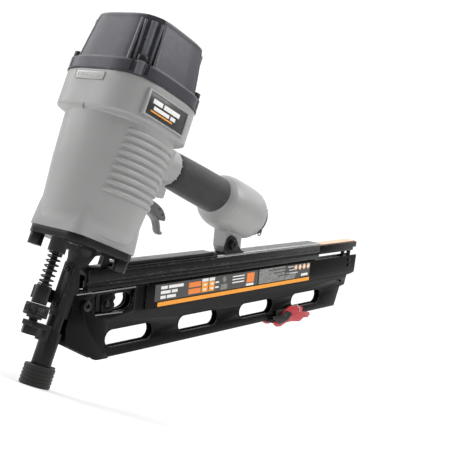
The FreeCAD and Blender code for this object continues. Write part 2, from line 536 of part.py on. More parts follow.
def make_nose():
    plate = lofted(("base_half_x", "base_half_y", "base_corner", "plate_bottom"),
                   ("base_half_x", "base_half_y", "base_corner", "plate_top"))
    column = block(("-nose_front", "nose_back"), ("-nose_half", "nose_half"), ("nose_square", "plate_bottom + 1"))
    tip = rod("z", ("0", "0"), "nose_round", "nose_end", "nose_square + 1")
    cheeks = block(("2", "cheek_rear"), ("-nose_half", "nose_half"), ("cheek_low", "cheek_high"))
    flare = slab([("-nose_front", "118"), ("-nose_front - 4", "plate_bottom + 1"), ("25", "plate_bottom + 1"),
                  ("16", "126.5"), ("nose_back", "118")], "-nose_half", "nose_half")
    boss = rod("z", ("column_x", "0"), "boss_radius", "boss_bottom", "plate_bottom + 1")
    bridge = block(("column_x", "0"), ("-5.5", "5.5"), ("plate_bottom - 6", "plate_bottom + 1"))
    post = rod("z", ("post_x", "0"), "post_width", "plate_bottom - 12", "plate_bottom + 1")
    channel = rod("z", ("0", "0"), "channel_radius", "nose_end - 1", "plate_top + 1")
    feed = block(("0", "cheek_rear + 4"), ("-channel_radius", "channel_radius"), ("nose_end - 1", "108"))
    rod_bore = rod("z", ("column_x", "0"), "rod_radius + running_gap", "boss_bottom - 1", "plate_top - 1.8")
    screws = [rod("z", place, "4.05", "plate_bottom - 1", "plate_top + 1") for place in nose_screw_places]
    side_holes = [rod("y", ("21.8", "81"), "3.05", low, high)
                  for low, high in (("-20", "-4.1"), ("4.1", "20"))]
    rail_room = on_magazine(block(("40", "120"), ("-20", "20"), ("rail_low - 0.2", "rail_high + 0.04")))
    solid = join(plate, column, tip, cheeks, flare, boss, bridge, post)
    node("nose_body", cut(solid, channel, feed, rod_bore, rail_room, *screws, *side_holes))
    raised = socket_screws("z", [place for place in nose_screw_places if place != flush_screw_place], "6.5",
                           "plate_bottom - 10.5", "plate_bottom", "4", "plate_top + 14", "6")
    flush = socket_screws("z", [flush_screw_place], "6.5", "plate_bottom - 2", "plate_bottom",
                          "4", "plate_top + 14", "6")
    node("nose_screws", join(raised, flush))
    guide = block(("-nose_front - 1.8", "-nose_front"), ("-nose_half + 0.5", "nose_half - 0.5"),
                  ("nose_square + 4", "114"))
    guide_holes = [rod("x", ("0", height), "1.55", "-20", "0") for height in ("74", "108")]
    node("driver_guide_plate", cut(guide, *guide_holes))
    node("guide_plate_screws", socket_screws("x", [("0", "74"), ("0", "108")], "2.6", "-nose_front - 3.2",
                                             "-nose_front - 1.8", "1.5", "-nose_front - 0.1", "2"))


def make_contact_arm():
    barrel = rod("z", ("column_x", "0"), "barrel_radius", "barrel_low", "barrel_high")
    rod_part = rod("z", ("column_x", "0"), "rod_radius", "barrel_high - 1", "rod_top")
    across = block(("column_x + 2", "column_x + 8"), ("0", "link_y + link_thick"), ("link_low", "link_high"))
    side_bar = block(("column_x + 2", "riser_rear"), ("link_y", "link_y + link_thick"), ("link_low", "link_high"))
    riser = block(("riser_front", "riser_rear"), ("link_y", "link_y + 2 * link_thick"),
                  ("link_low", "finger_high"))
    finger = block(("riser_front", "riser_rear"), ("-4", "link_y + link_thick"), ("finger_low", "finger_high"))
    neck_room = rod("z", ("column_x", "0"), "neck_radius + 0.4", "barrel_low - 1", "barrel_low + 6.5")
    node("contact_arm", cut(join(barrel, rod_part, across, side_bar, riser, finger), neck_room))
    node("contact_spring", coil_spring("column_x", "5.9", "0.6", "barrel_high + 0.9", "boss_bottom - 0.9", "7.5"))


def make_depth_adjuster():
    wheel = rod("z", ("column_x", "0"), "wheel_radius", "wheel_low", "wheel_high")
    hub = rod("z", ("column_x", "0"), "barrel_radius", "wheel_low - 2", "wheel_low + 1")
    flutes = []
    for turn_x, turn_y in ring_places(16, "wheel_radius + 0.6"):
        flutes.append(rod("z", ("column_x + " + turn_x, turn_y), "1.1", "wheel_low - 1", "wheel_high + 1"))
    bore = rod("z", ("column_x", "0"), "neck_radius + running_gap", "wheel_low - 4", "wheel_high + 1")
    node("depth_wheel", cut(join(wheel, hub), bore, *flutes))
    tube = rod("z", ("0", "0"), "tube_outer", "foot_floor", "arm_low")
    arm = block(("column_x - 6", "-tube_inner - 0.2"), ("-6", "6"), ("arm_low", "arm_high"))
    riser = block(("-12", "-tube_inner - 0.2"), ("-6", "6"), ("40", "arm_high"))
    bore_tube = rod("z", ("0", "0"), "tube_inner", "foot_floor - 1", "arm_high + 1")
    window = block(("1", "14"), ("-4.6", "4.6"), ("foot_top + 3", "arm_high + 1"))
    neck_hole = rod("z", ("column_x", "0"), "neck_radius + 0.05", "arm_low - 1", "arm_high + 1")
    node("contact_tip", cut(join(tube, arm, riser), bore_tube, window, neck_hole))
    head = hexagon("z", ("column_x", "0"), "13", "arm_low - 7.5", "arm_low")
    shank = rod("z", ("column_x", "0"), "neck_radius", "arm_low - 1", "wheel_high - 1")
    node("adjuster_screw", join(head, shank))
    foot = turned([("exit_radius", "0"), ("foot_radius - 0.8", "0"), ("foot_radius", "0.8"),
                   ("foot_radius", "foot_top - 0.8"), ("foot_radius - 0.8", "foot_top"),
                   ("tube_outer + 0.05", "foot_top"), ("tube_outer + 0.05", "foot_floor - 0.05"),
                   ("exit_radius", "foot_floor - 0.05")])
    tab = block(("12", "17"), ("-4", "4"), ("foot_top - 4", "foot_top + 1.5"))
    grooves = [cut(rod("z", ("0", "0"), "foot_radius + 1", low, low + " + 0.9"),
                   rod("z", ("0", "0"), "foot_radius - 0.6", low + " - 1", low + " + 2"))
               for low in ("4", "8", "12")]
    node("no_mar_foot", cut(join(foot, tab), *grooves))


# ---------------------------------------------------------------- magazine group


def make_side_plates():
    inner = "(side_y - sheet_thick)"
    web = [("web_start", "plate_high"), ("web_start", "14"), ("66.8", "13.4"), ("84", "plate_low"),
           ("506.1", "plate_low"), ("516.3", "37.9"), ("528", "39.5"), ("531", "50.3"), ("533", "54"),
           ("546.2", "55.7"), ("panel_end", "plate_high")]
    clasp = [("36.2", "plate_high"), ("27.1", "48.6"), ("28.1", "33.4"), ("66.8", "13.4"), ("84", "plate_low"),
             ("77", "24"), ("77", "50"), ("clasp_end", "54"), ("clasp_end", "plate_high")]
    clasp_room = [("10", "90"), ("10", "0"), ("82.9", "0"), ("82.9", "plate_low"), ("75.9", "23.6"),
                  ("75.9", "51.1"), ("clasp_end - sheet_thick", "55.1"), ("clasp_end - sheet_thick", "90")]
    panel = [("panel_start", "plate_high"), ("panel_start", "panel_low"), ("533", "panel_low"), ("533", "54"),
             ("546.2", "55.7"), ("panel_end", "plate_high")]
    panel_room = [("panel_start + sheet_thick", "90"), ("panel_start + sheet_thick", "panel_low + sheet_thick"),
                  ("560", "panel_low + sheet_thick"), ("560", "90")]
    slots = []
    for index in range(4):
        start = "first_slot + %d * slot_pitch" % index
        slots.append(block((start, start + " + slot_straight"), ("-20", "20"),
                           ("slot_up - slot_radius", "slot_up + slot_radius")))
        for centre in (start, start + " + slot_straight"):
            slots.append(rod("y", (centre, "slot_up"), "slot_radius", "-20", "20"))
    hole = block(("hole_start", "hole_end"), ("-20", "20"), ("hole_low", "hole_high"))
    screw_hole = rod("y", ("front_screw_along", "front_screw_up"), "3.1", "-20", "20")
    tail_holes = [rod("y", ("tail_screw_along", height), "2.1", "-20", "20") for height in tail_screw_heights]
    for label, near in (("magazine_left_plate", True), ("magazine_right_plate", False)):
        def spread(low, high):
            return ("-" + high, "-" + low) if near else (low, high)
        channel = cut(slab(web, *spread(inner, "side_y")),
                      slab(panel_room, *spread("(side_y - 2)", "(panel_y - sheet_thick)")))
        front = cut(slab(clasp, *spread(inner, "clasp_y")),
                    slab(clasp_room, *spread("(side_y - 2)", "(clasp_y - sheet_thick)")),
                    block(("window_start", "window_end"), spread("side_y", "(clasp_y + 1)"),
                          ("window_low", "window_high")))
        raised = cut(slab(panel, *spread(inner, "panel_y")),
                     slab(panel_room, *spread("(side_y - 2)", "(panel_y - sheet_thick)")))
        flange = block(("panel_start", "rail_end"), spread(inner, "panel_y"), ("plate_high - sheet_thick", "plate_high"))
        upright = block(("web_start", "rail_end"), spread(inner, "side_y"), ("plate_high - 1", "rail_low - 0.02"))
        node(label, on_magazine(cut(join(channel, front, raised, flange, upright), *slots, hole, screw_hole, *tail_holes)))


def make_rail():
    rail = block(("rail_start", "rail_end"), ("-rail_half", "rail_half"), ("rail_low", "rail_high"))
    nail_slot = block(("rail_start - 1", "end_block_end + 1"), ("-nail_slot_half", "nail_slot_half"),
                      ("rail_low - 1", "head_slot_high"))
    head_slot = block(("rail_start - 1", "end_block_end + 1"), ("-head_slot_half", "head_slot_half"),
                      ("head_slot_low", "head_slot_high"))
    grooves = [block(("rail_start - 1", "rail_end + 1"), span, ("rail_low + 5", "rail_low + 8"))
               for span in (("-rail_half - 1", "-rail_half + 2"), ("rail_half - 2", "rail_half + 1"))]
    node("magazine_rail", on_magazine(cut(rail, nail_slot, head_slot, *grooves)))
    cover = block(("cover_start", "cover_end"), ("-rail_half + 2", "rail_half - 2"), ("rail_high", "cover_high"))
    node("rail_cover", on_magazine(cover))
    end_block = block(("rail_end", "end_block_end"), ("-9", "9"), ("end_block_low", "end_block_high"))
    notch = block(("end_block_end - 8", "end_block_end + 1"), ("-10", "10"), ("end_block_low - 1", "91"))
    node("rail_end_block", on_magazine(cut(end_block, notch, nail_slot, head_slot)))
    strip = block(("rail_end + 6", "end_block_end - 1"), ("-7", "7"), ("end_block_high", "strip_high"))
    node("wear_strip", on_magazine(strip))
    tails = [block(("tail_block_start", "end_block_end - 8.2"), span, ("tail_block_low", "end_block_low"))
             for span in (("-panel_y + sheet_thick", "-side_y + sheet_thick"),
                          ("side_y - sheet_thick", "panel_y - sheet_thick"))]
    node("magazine_tail_block", on_magazine(join(*tails)))
    screws = [socket_screws("y", [("tail_screw_along", height) for height in tail_screw_heights],
                            "2.6", low, high, "2", tip, "2.4")
              for low, high, tip in (("-panel_y - 1.2", "-panel_y", "-panel_y + 1"),
                                     ("panel_y", "panel_y + 1.2", "panel_y - 1"))]
    node("tail_screws", on_magazine(join(*screws)))
    fronts = [socket_screws("y", [("front_screw_along", "front_screw_up")], "5", low, high, "3", tip, "4.5")
              for low, high, tip in (("-clasp_y - 4.6", "-clasp_y", "-4.4"), ("clasp_y", "clasp_y + 4.6", "4.4"))]
    node("magazine_front_screws", on_magazine(join(*fronts)))


def make_magazine_trim():
    labels = [block(("label_start", "label_end"), span, ("label_low", "label_high"))
              for span in (("-panel_y - label_thick", "-panel_y"), ("panel_y", "panel_y + label_thick"))]
    node("magazine_labels", on_magazine(join(*labels)))
    cover = block(("71", "hole_start - 1"), ("-side_y - 1.2", "-side_y"), ("hole_low", "hole_high"))
    thread = rod("y", ("cover_screw_along", "cover_screw_up"), "1.55", "-20", "0")
    node("inspection_cover", on_magazine(cut(cover, thread)))
    node("inspection_screw", on_magazine(socket_screws("y", [("cover_screw_along", "cover_screw_up")], "2.6",
                                                       "-side_y - 2.8", "-side_y - 1.2", "1.5",
                                                       "-side_y - 0.1", "2")))


def make_rear_bracket():
    base = block(("bolt_along - 13", "bolt_along + 23"), ("-lug_half - 2.8", "lug_half + 2.8"),
                 ("rail_high + 0.02", "rail_high + 2.6"))
    ear_outline = [("bolt_along - 12", "rail_high + 1"), ("bolt_along - ear_radius", "bolt_up"),
                   ("bolt_along - 7.1", "bolt_up + 7.1"), ("bolt_along", "bolt_up + ear_radius"),
                   ("bolt_along + 7.1", "bolt_up + 7.1"), ("bolt_along + ear_radius", "bolt_up"),
                   ("bolt_along + 21", "rail_high + 1")]
    ears = [slab(ear_outline, low, high)
            for low, high in (("-lug_half - 2.8", "-lug_half - 0.1"), ("lug_half + 0.1", "lug_half + 2.8"))]
    hole = rod("y", ("bolt_along", "bolt_up"), "bolt_radius + 0.1", "-20", "20")
    node("rear_bracket", on_magazine(cut(join(base, *ears), hole)))
    head = hexagon("y", ("bolt_along", "bolt_up"), "10", "lug_half + 2.8", "lug_half + 7")
    shank = rod("y", ("bolt_along", "bolt_up"), "bolt_radius", "-lug_half - 9.5", "lug_half + 3")
    node("bracket_bolt", on_magazine(join(head, shank)))
    nut = cut(hexagon("y", ("bolt_along", "bolt_up"), "10", "-lug_half - 7.8", "-lug_half - 2.8"),
              rod("y", ("bolt_along", "bolt_up"), "bolt_radius + 0.02", "-lug_half - 9", "-lug_half"))
    node("bracket_nut", on_magazine(nut))


def make_pusher():
    blade = block(("blade_front", "blade_rear"), ("-blade_half", "blade_half"), ("pusher_low", "blade_high"))
    arm = block(("arm_front", "blade_front + 1"), ("-blade_half", "blade_half"), ("arm_low_up", "blade_high"))
    saddle = block(("pusher_front", "pusher_rear"), ("-pusher_side", "pusher_side"),
                   ("pusher_low", "plate_low - pusher_gap"))
    cheeks = [block(("pusher_front", "pusher_rear"), span, ("pusher_low", "pusher_high"))
              for span in (("-pusher_side", "-pusher_inner"), ("pusher_inner", "pusher_side"))]
    drum_arms = [block(("blade_rear - 1", "drum_along + 4"), span, ("drum_up - 5", "drum_up + 5"))
                 for span in (("-blade_half", "-coil_half - 0.1"), ("coil_half + 0.1", "blade_half"))]
    drum = rod("y", ("drum_along", "drum_up"), "drum_radius", "-blade_half", "blade_half")
    pivot = rod("y", ("lever_pivot_along", "lever_pivot_up"), "2.05", "-40", "40")
    coil_room = rod("y", ("drum_along", "drum_up"), "coil_radius + 0.4", "-coil_half - 0.1", "coil_half + 0.1")
    core = cut(join(blade, arm), coil_room)
    carriage = cut(join(saddle, *cheeks), pivot)
    node("pusher", on_magazine(join(core, carriage, drum, *drum_arms)))
    coil = cut(rod("y", ("drum_along", "drum_up"), "coil_radius", "-coil_half", "coil_half"),
               rod("y", ("drum_along", "drum_up"), "drum_radius + 0.1", "-7", "7"))
    node("feed_spring", on_magazine(coil))
    outline = [("360.5", "10.5"), ("362.4", "6.6"), ("367", "4.2"), ("374.5", "3.3"), ("386", "6.6"),
               ("397", "6.8"), ("409", "5.2"), ("418", "4.1"), ("426.5", "8.2"), ("435.5", "6.8"),
               ("440", "10.4"), ("438", "13.4"), ("421", "16.6"), ("421.4", "21.8"), ("413", "24.8"),
               ("402", "26"), ("391", "26.4"), ("381", "22"), ("371", "13.6")]
    sides = [slab(outline, low, high) for low, high in
             (("-lever_side", "-lever_inner"), ("lever_inner", "lever_side"))]
    bar = block(("428", "434"), ("-lever_side", "lever_side"), ("7.6", "plate_low - 1"))
    hole = rod("y", ("lever_pivot_along", "lever_pivot_up"), "2.05", "-40", "40")
    node("pusher_lever", on_magazine(cut(join(bar, *sides), hole)))
    cap_outline = [("355", "18.6"), ("373.2", "18"), ("384.2", "22.2"), ("397", "17.4"), ("388.6", "10.2"),
                   ("383.4", "9"), ("370.8", "7.3"), ("358.8", "14.2")]
    caps = [cut(slab(cap_outline, low, high), pivot) for low, high in
            (("-cap_side", "-cap_inner"), ("cap_inner", "cap_side"))]
    node("pusher_caps", on_magazine(join(*caps)))
    pins = [rod("y", ("lever_pivot_along", "lever_pivot_up"), "2", low, high)
            for low, high in (("-cap_side", "-pusher_inner"), ("pusher_inner", "cap_side"))]
    node("pusher_pin", on_magazine(join(*pins)))


make_housing()
make_top_cap()
make_cylinder()
make_piston()
make_head_valve()
make_deflector()
make_handle_fittings()
make_badges()
make_trigger_group()
make_nose()
make_contact_arm()
make_depth_adjuster()
make_side_plates()
make_rail()
make_magazine_trim()
make_rear_bracket()
make_pusher()

doc.recompute()

faults = ["%s (%s): %s" % (item.Label, item.Name, item.State) for item in doc.Objects
          if "Invalid" in item.State or "Error" in item.State]
for shape in nodes:
    if shape.Shape.isNull() or not shape.Shape.isValid() or not shape.Shape.Solids:
        faults.append("%s: no valid solid" % shape.Label)
if faults:
    raise RuntimeError("; ".join(faults))

os.makedirs("parts", exist_ok=True)
for shape in nodes:
    shape.Shape.exportStep("parts/%s.step" % shape.Label)
    print("%-24s %2d solids %10.1f mm3" % (shape.Label, len(shape.Shape.Solids), shape.Shape.Volume))
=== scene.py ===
import json
import math

import bmesh
import bpy
from mathutils import Matrix, Vector


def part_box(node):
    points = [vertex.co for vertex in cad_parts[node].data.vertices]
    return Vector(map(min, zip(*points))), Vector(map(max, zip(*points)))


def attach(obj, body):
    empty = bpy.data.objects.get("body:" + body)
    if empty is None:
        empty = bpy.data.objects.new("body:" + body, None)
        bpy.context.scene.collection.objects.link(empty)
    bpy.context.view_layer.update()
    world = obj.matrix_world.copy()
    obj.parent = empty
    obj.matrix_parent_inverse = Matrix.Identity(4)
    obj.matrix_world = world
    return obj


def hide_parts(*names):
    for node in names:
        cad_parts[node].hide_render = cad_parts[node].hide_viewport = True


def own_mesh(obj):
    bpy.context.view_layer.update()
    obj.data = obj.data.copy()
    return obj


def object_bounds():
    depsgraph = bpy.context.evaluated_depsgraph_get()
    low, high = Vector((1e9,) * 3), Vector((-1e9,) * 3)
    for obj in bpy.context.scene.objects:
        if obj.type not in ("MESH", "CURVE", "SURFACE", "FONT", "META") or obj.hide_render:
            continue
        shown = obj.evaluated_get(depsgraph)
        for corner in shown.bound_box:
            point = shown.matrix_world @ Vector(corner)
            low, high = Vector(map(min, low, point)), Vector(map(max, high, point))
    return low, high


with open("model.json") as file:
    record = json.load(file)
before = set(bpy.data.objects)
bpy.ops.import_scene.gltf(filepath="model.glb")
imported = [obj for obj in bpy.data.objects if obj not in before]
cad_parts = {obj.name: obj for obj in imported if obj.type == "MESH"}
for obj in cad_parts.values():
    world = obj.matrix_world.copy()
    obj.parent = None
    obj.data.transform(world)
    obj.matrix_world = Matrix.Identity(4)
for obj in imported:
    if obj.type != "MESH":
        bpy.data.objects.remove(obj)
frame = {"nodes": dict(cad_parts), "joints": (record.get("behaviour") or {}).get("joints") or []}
cad_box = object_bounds()

# Everything below is written in millimetres and made in metres.
MM = 0.001
travel = Vector([joint for joint in frame["joints"] if joint["name"] == "pusher_travel"][0]["axis"])
LEAN = math.atan2(travel.z, travel.x)
LEANED = Matrix.Rotation(-LEAN, 4, "Y")
SIDES = (-1, 1)


def span(node, axis):
    """A CAD node's lowest and highest place along an axis, in millimetres."""
    low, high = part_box(node)
    return low["xyz".index(axis)] / MM, high["xyz".index(axis)] / MM


PLATE_TOP = span("nose_body", "z")[1]
HEAD_TOP = span("cap_gasket", "z")[0]
CAP_BOTTOM = span("top_cap", "z")[0]
CAP_TOP = span("top_cap", "z")[1]
HEAD_X = span("top_cap", "x")[1]
HEAD_Y = span("top_cap", "y")[1]
FLANGE_TOP = span("cap_screws", "z")[1] - 6
GRIP_START, GRIP_END = span("grip_sleeve", "x")
GRIP_RADIUS = span("grip_sleeve", "y")[1]
HANDLE_Z = sum(span("grip_sleeve", "z")) / 2
END_X = span("end_cap_seal", "x")[0]
END_Z = sum(span("end_cap_seal", "z")) / 2
BASE_X = 40.6
BASE_Y = 34.8
SCREW_X = span("cap_screws", "x")[1] - 5
SCREW_Y = span("cap_screws", "y")[1] - 5
CORNERS = ((1, 1), (-1, 1), (-1, -1), (1, -1))
CAP_POWER = 4.0
CAP_SHOULDER = CAP_TOP - 5
STEM_X = 63
VALVE_RADIUS = 8.1

# The magazine, along its own lean: the outsides of its folded sheets, and its slots.
INNER_Y, WEB_Y, PANEL_Y, CLASP_Y = 3.1, 4.2, 6.8, 7.3
PLATE_HIGH = 79.9
RAIL_END = 446
SLOT_STARTS = [88.9 + 106.6 * index for index in range(4)]
SLOT_LENGTH, SLOT_UP, SLOT_RADIUS = 49.8, 31, 8.5


# ---------------------------------------------------------------- mesh making


def placed(name, data):
    """A new object in the scene."""
    obj = bpy.data.objects.new(name, data)
    bpy.context.collection.objects.link(obj)
    return obj


def piece(name, *shapes):
    """A new object from shapes in millimetres, with its faces turned outwards."""
    verts, faces = [], []
    for shape_verts, shape_faces in shapes:
        faces += [[index + len(verts) for index in face] for face in shape_faces]
        verts += [tuple(float(value) * MM for value in vert) for vert in shape_verts]
    mesh = bpy.data.meshes.new(name)
    mesh.from_pydata(verts, [], faces)
    work = bmesh.new()
    work.from_mesh(mesh)
    bmesh.ops.recalc_face_normals(work, faces=work.faces)
    work.to_mesh(mesh)
    work.free()
    return placed(name, mesh)


def leaned(shape):
    """A shape made along the magazine, put where the magazine is."""
    return [tuple(LEANED @ Vector(vert)) for vert in shape[0]], shape[1]


def skin(rings, closed=False):
    """Faces through rings of equal length, with ends unless the last ring joins the first."""
    count = len(rings[0])
    verts = [vert for ring in rings for vert in ring]
    faces = []
    last = len(rings) if closed else len(rings) - 1
    for row in range(last):
        low, high = row * count, (row + 1) % len(rings) * count
        for index in range(count):
            after = (index + 1) % count
            faces.append([low + index, low + after, high + after, high + index])
    if not closed:
        faces.append(list(range(count))[::-1])
        faces.append(list(range(len(verts) - count, len(verts))))
    return verts, faces


def superellipse(half_x, half_y, power, count=96, centre=(0, 0)):
    """Points round a rounded rectangle; a power of 2 is an ellipse and more is squarer."""
    points = []
    for index in range(count):
        angle = math.tau * index / count
        c, s = math.cos(angle), math.sin(angle)
        points.append((centre[0] + half_x * math.copysign(abs(c) ** (2 / power), c),
                       centre[1] + half_y * math.copysign(abs(s) ** (2 / power), s)))
    return points


def rim_point(azimuth, radius, power):
    """A point on a superellipse of equal half widths, in the direction of an angle."""
    c, s = math.cos(azimuth), math.sin(azimuth)
    reach = radius / (abs(c) ** power + abs(s) ** power) ** (1 / power)
    return reach * c, reach * s


def column(sections):
    """A solid through superellipses (z, half x, half y, power)."""
    return skin([[(x, y, z) for x, y in superellipse(half_x, half_y, power)]
                 for z, half_x, half_y, power in sections])


def on_axis(axis, along, first, second):
    """A point from its place along an axis and its two other coordinates."""
    return {"x": (along, first, second), "y": (first, along, second), "z": (first, second, along)}[axis]


def lathe(axis, centre, profile, steps=64, closed=False):
    """A solid turned about an axis from (along, radius) points."""
    rings = []
    for along, radius in profile:
        rings.append([on_axis(axis, along, centre[0] + radius * math.cos(math.tau * step / steps),
                              centre[1] + radius * math.sin(math.tau * step / steps))
                      for step in range(steps)])
    return skin(rings, closed=closed)


def box(x, y, z):
    """A block between two places on each axis."""
    verts = [(x[i], y[j], z[k]) for i in (0, 1) for j in (0, 1) for k in (0, 1)]
    faces = [[0, 1, 3, 2], [4, 6, 7, 5], [0, 4, 5, 1], [2, 3, 7, 6], [0, 2, 6, 4], [1, 5, 7, 3]]
    return verts, faces


def slab(outline, low, high):
    """An outline in X and Z, between two places in Y."""
    rings = [[(x, y, z) for x, z in outline] for y in (low, high)]
    return skin(rings)


def rounded(outline, radius, steps=4):
    """An outline with its corners rounded off."""
    result = []
    count = len(outline)
    for index in range(count):
        before, here, after = (Vector(outline[(index + shift) % count]) for shift in (-1, 0, 1))
        one, two = before - here, after - here
        cut = min(radius, one.length * 0.45, two.length * 0.45)
        start, end = here + one.normalized() * cut, here + two.normalized() * cut
        for step in range(steps + 1):
            t = step / steps
            result.append(tuple((1 - t) ** 2 * start + 2 * t * (1 - t) * here + t ** 2 * end))
    return result


def slot_outline(start, end, up, radius, steps=12):
    """The outline of a slot with two round ends."""
    points = []
    for centre, first in ((end, -90), (start, 90)):
        for step in range(steps + 1):
            angle = math.radians(first + 180 * step / steps)
            points.append((centre + radius * math.cos(angle), up + radius * math.sin(angle)))
    return points


def tube(points, radius, steps=12, closed=False):
    """A round wire along points."""
    points = [Vector(point) for point in points]
    rings = []
    normal = None
    for index, point in enumerate(points):
        if closed:
            ahead, behind = points[(index + 1) % len(points)], points[index - 1]
        else:
            ahead, behind = points[min(index + 1, len(points) - 1)], points[max(index - 1, 0)]
        tangent = (ahead - behind).normalized()
        if normal is None:
            normal = tangent.orthogonal().normalized()
        normal = (normal - tangent * normal.dot(tangent)).normalized()
        side = tangent.cross(normal)
        rings.append([tuple(point + radius * (normal * math.cos(math.tau * step / steps)
                                              + side * math.sin(math.tau * step / steps)))
                      for step in range(steps)])
    return skin(rings, closed=closed)


def between(a, b, c, d, t):
    """A point on a smooth curve from b to c that comes from a and goes on to d."""
    return 0.5 * (2 * b + (c - a) * t + (2 * a - 5 * b + 4 * c - d) * t * t
                  + (3 * b - a - 3 * c + d) * t ** 3)


def spline(points, steps):
    """A smooth path through points."""
    points = [Vector(point) for point in points]
    path = []
    for index in range(len(points) - 1):
        a, b = points[max(index - 1, 0)], points[index]
        c, d = points[index + 1], points[min(index + 2, len(points) - 1)]
        path += [between(a, b, c, d, step / steps) for step in range(steps)]
    path.append(points[-1])
    return path


def smooth_outline(points, steps=4):
    """A closed outline that curves through points."""
    points = [Vector((x, z, 0)) for x, z in points]
    count = len(points)
    result = []
    for index in range(count):
        a, b, c, d = (points[(index + shift) % count] for shift in (-1, 0, 1, 2))
        for step in range(steps):
            spot = between(a, b, c, d, step / steps)
            result.append((spot.x, spot.y))
    return result


def baked(obj):
    """Makes an object's modifiers part of its mesh."""
    bpy.context.view_layer.update()
    graph = bpy.context.evaluated_depsgraph_get()
    mesh = bpy.data.meshes.new_from_object(obj.evaluated_get(graph))
    obj.modifiers.clear()
    obj.data = mesh
    return obj


def edged(obj, width, segments=2):
    """Rounds an object's hard edges."""
    bevel = obj.modifiers.new("edges", "BEVEL")
    bevel.width = width * MM
    bevel.segments = segments
    bevel.limit_method = "ANGLE"
    bevel.angle_limit = math.radians(30)
    bevel.use_clamp_overlap = True
    return baked(obj)


def cast(name, shapes, voxel, passes):
    """One cast skin over several overlapping solids, with soft inner corners."""
    obj = piece(name, *shapes)
    remesh = obj.modifiers.new("cast", "REMESH")
    remesh.mode = "VOXEL"
    remesh.voxel_size = voxel * MM
    remesh.adaptivity = 0
    soft = obj.modifiers.new("soften", "SMOOTH")
    soft.factor = 0.5
    soft.iterations = passes
    return baked(obj)


def carved(obj, shape, operation="DIFFERENCE"):
    """Cuts a shape out of an object, or adds it."""
    tool = piece("tool", shape)
    change = obj.modifiers.new("carve", "BOOLEAN")
    change.operation = operation
    change.object = tool
    change.solver = "MANIFOLD"
    baked(obj)
    bpy.data.objects.remove(tool)
    return obj


def dressed(obj, material, body, angle=35):
    """Finishes a piece: its material, its shading and its body."""
    obj.data.materials.clear()
    obj.data.materials.append(material)
    obj.data.shade_smooth()
    obj.data.set_sharp_from_angle(angle=math.radians(angle))
    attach(obj, body)
    return obj


def fixed(name, shapes, material, width=0, segments=2, angle=35):
    """A finished piece of the housing, with its hard edges rounded where it has a width for them."""
    obj = piece(name, *shapes)
    if width:
        edged(obj, width, segments)
    return dressed(obj, material, "housing", angle)


def refined(node, material, body, width, cuts=()):
    """A CAD node's own shape with its hard edges rounded, in its place."""
    mesh = frame["nodes"][node].data.copy()
    work = bmesh.new()
    work.from_mesh(mesh)
    bmesh.ops.remove_doubles(work, verts=work.verts, dist=2e-6)
    bmesh.ops.dissolve_limit(work, angle_limit=math.radians(0.6), verts=work.verts, edges=work.edges)
    bmesh.ops.recalc_face_normals(work, faces=work.faces)
    clean = bpy.data.meshes.new(node + "_shape")
    work.to_mesh(clean)
    work.free()
    bpy.data.meshes.remove(mesh)
    obj = placed(node + "_detail", clean)
    for shape in cuts:
        carved(obj, shape)
    edged(obj, width)
    dressed(obj, material, body)
    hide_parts(node)


# ---------------------------------------------------------------- materials


# A colour Mix node's sockets: its two colours and its result.
MIX_A, MIX_B, MIX_RESULT = 6, 7, 2


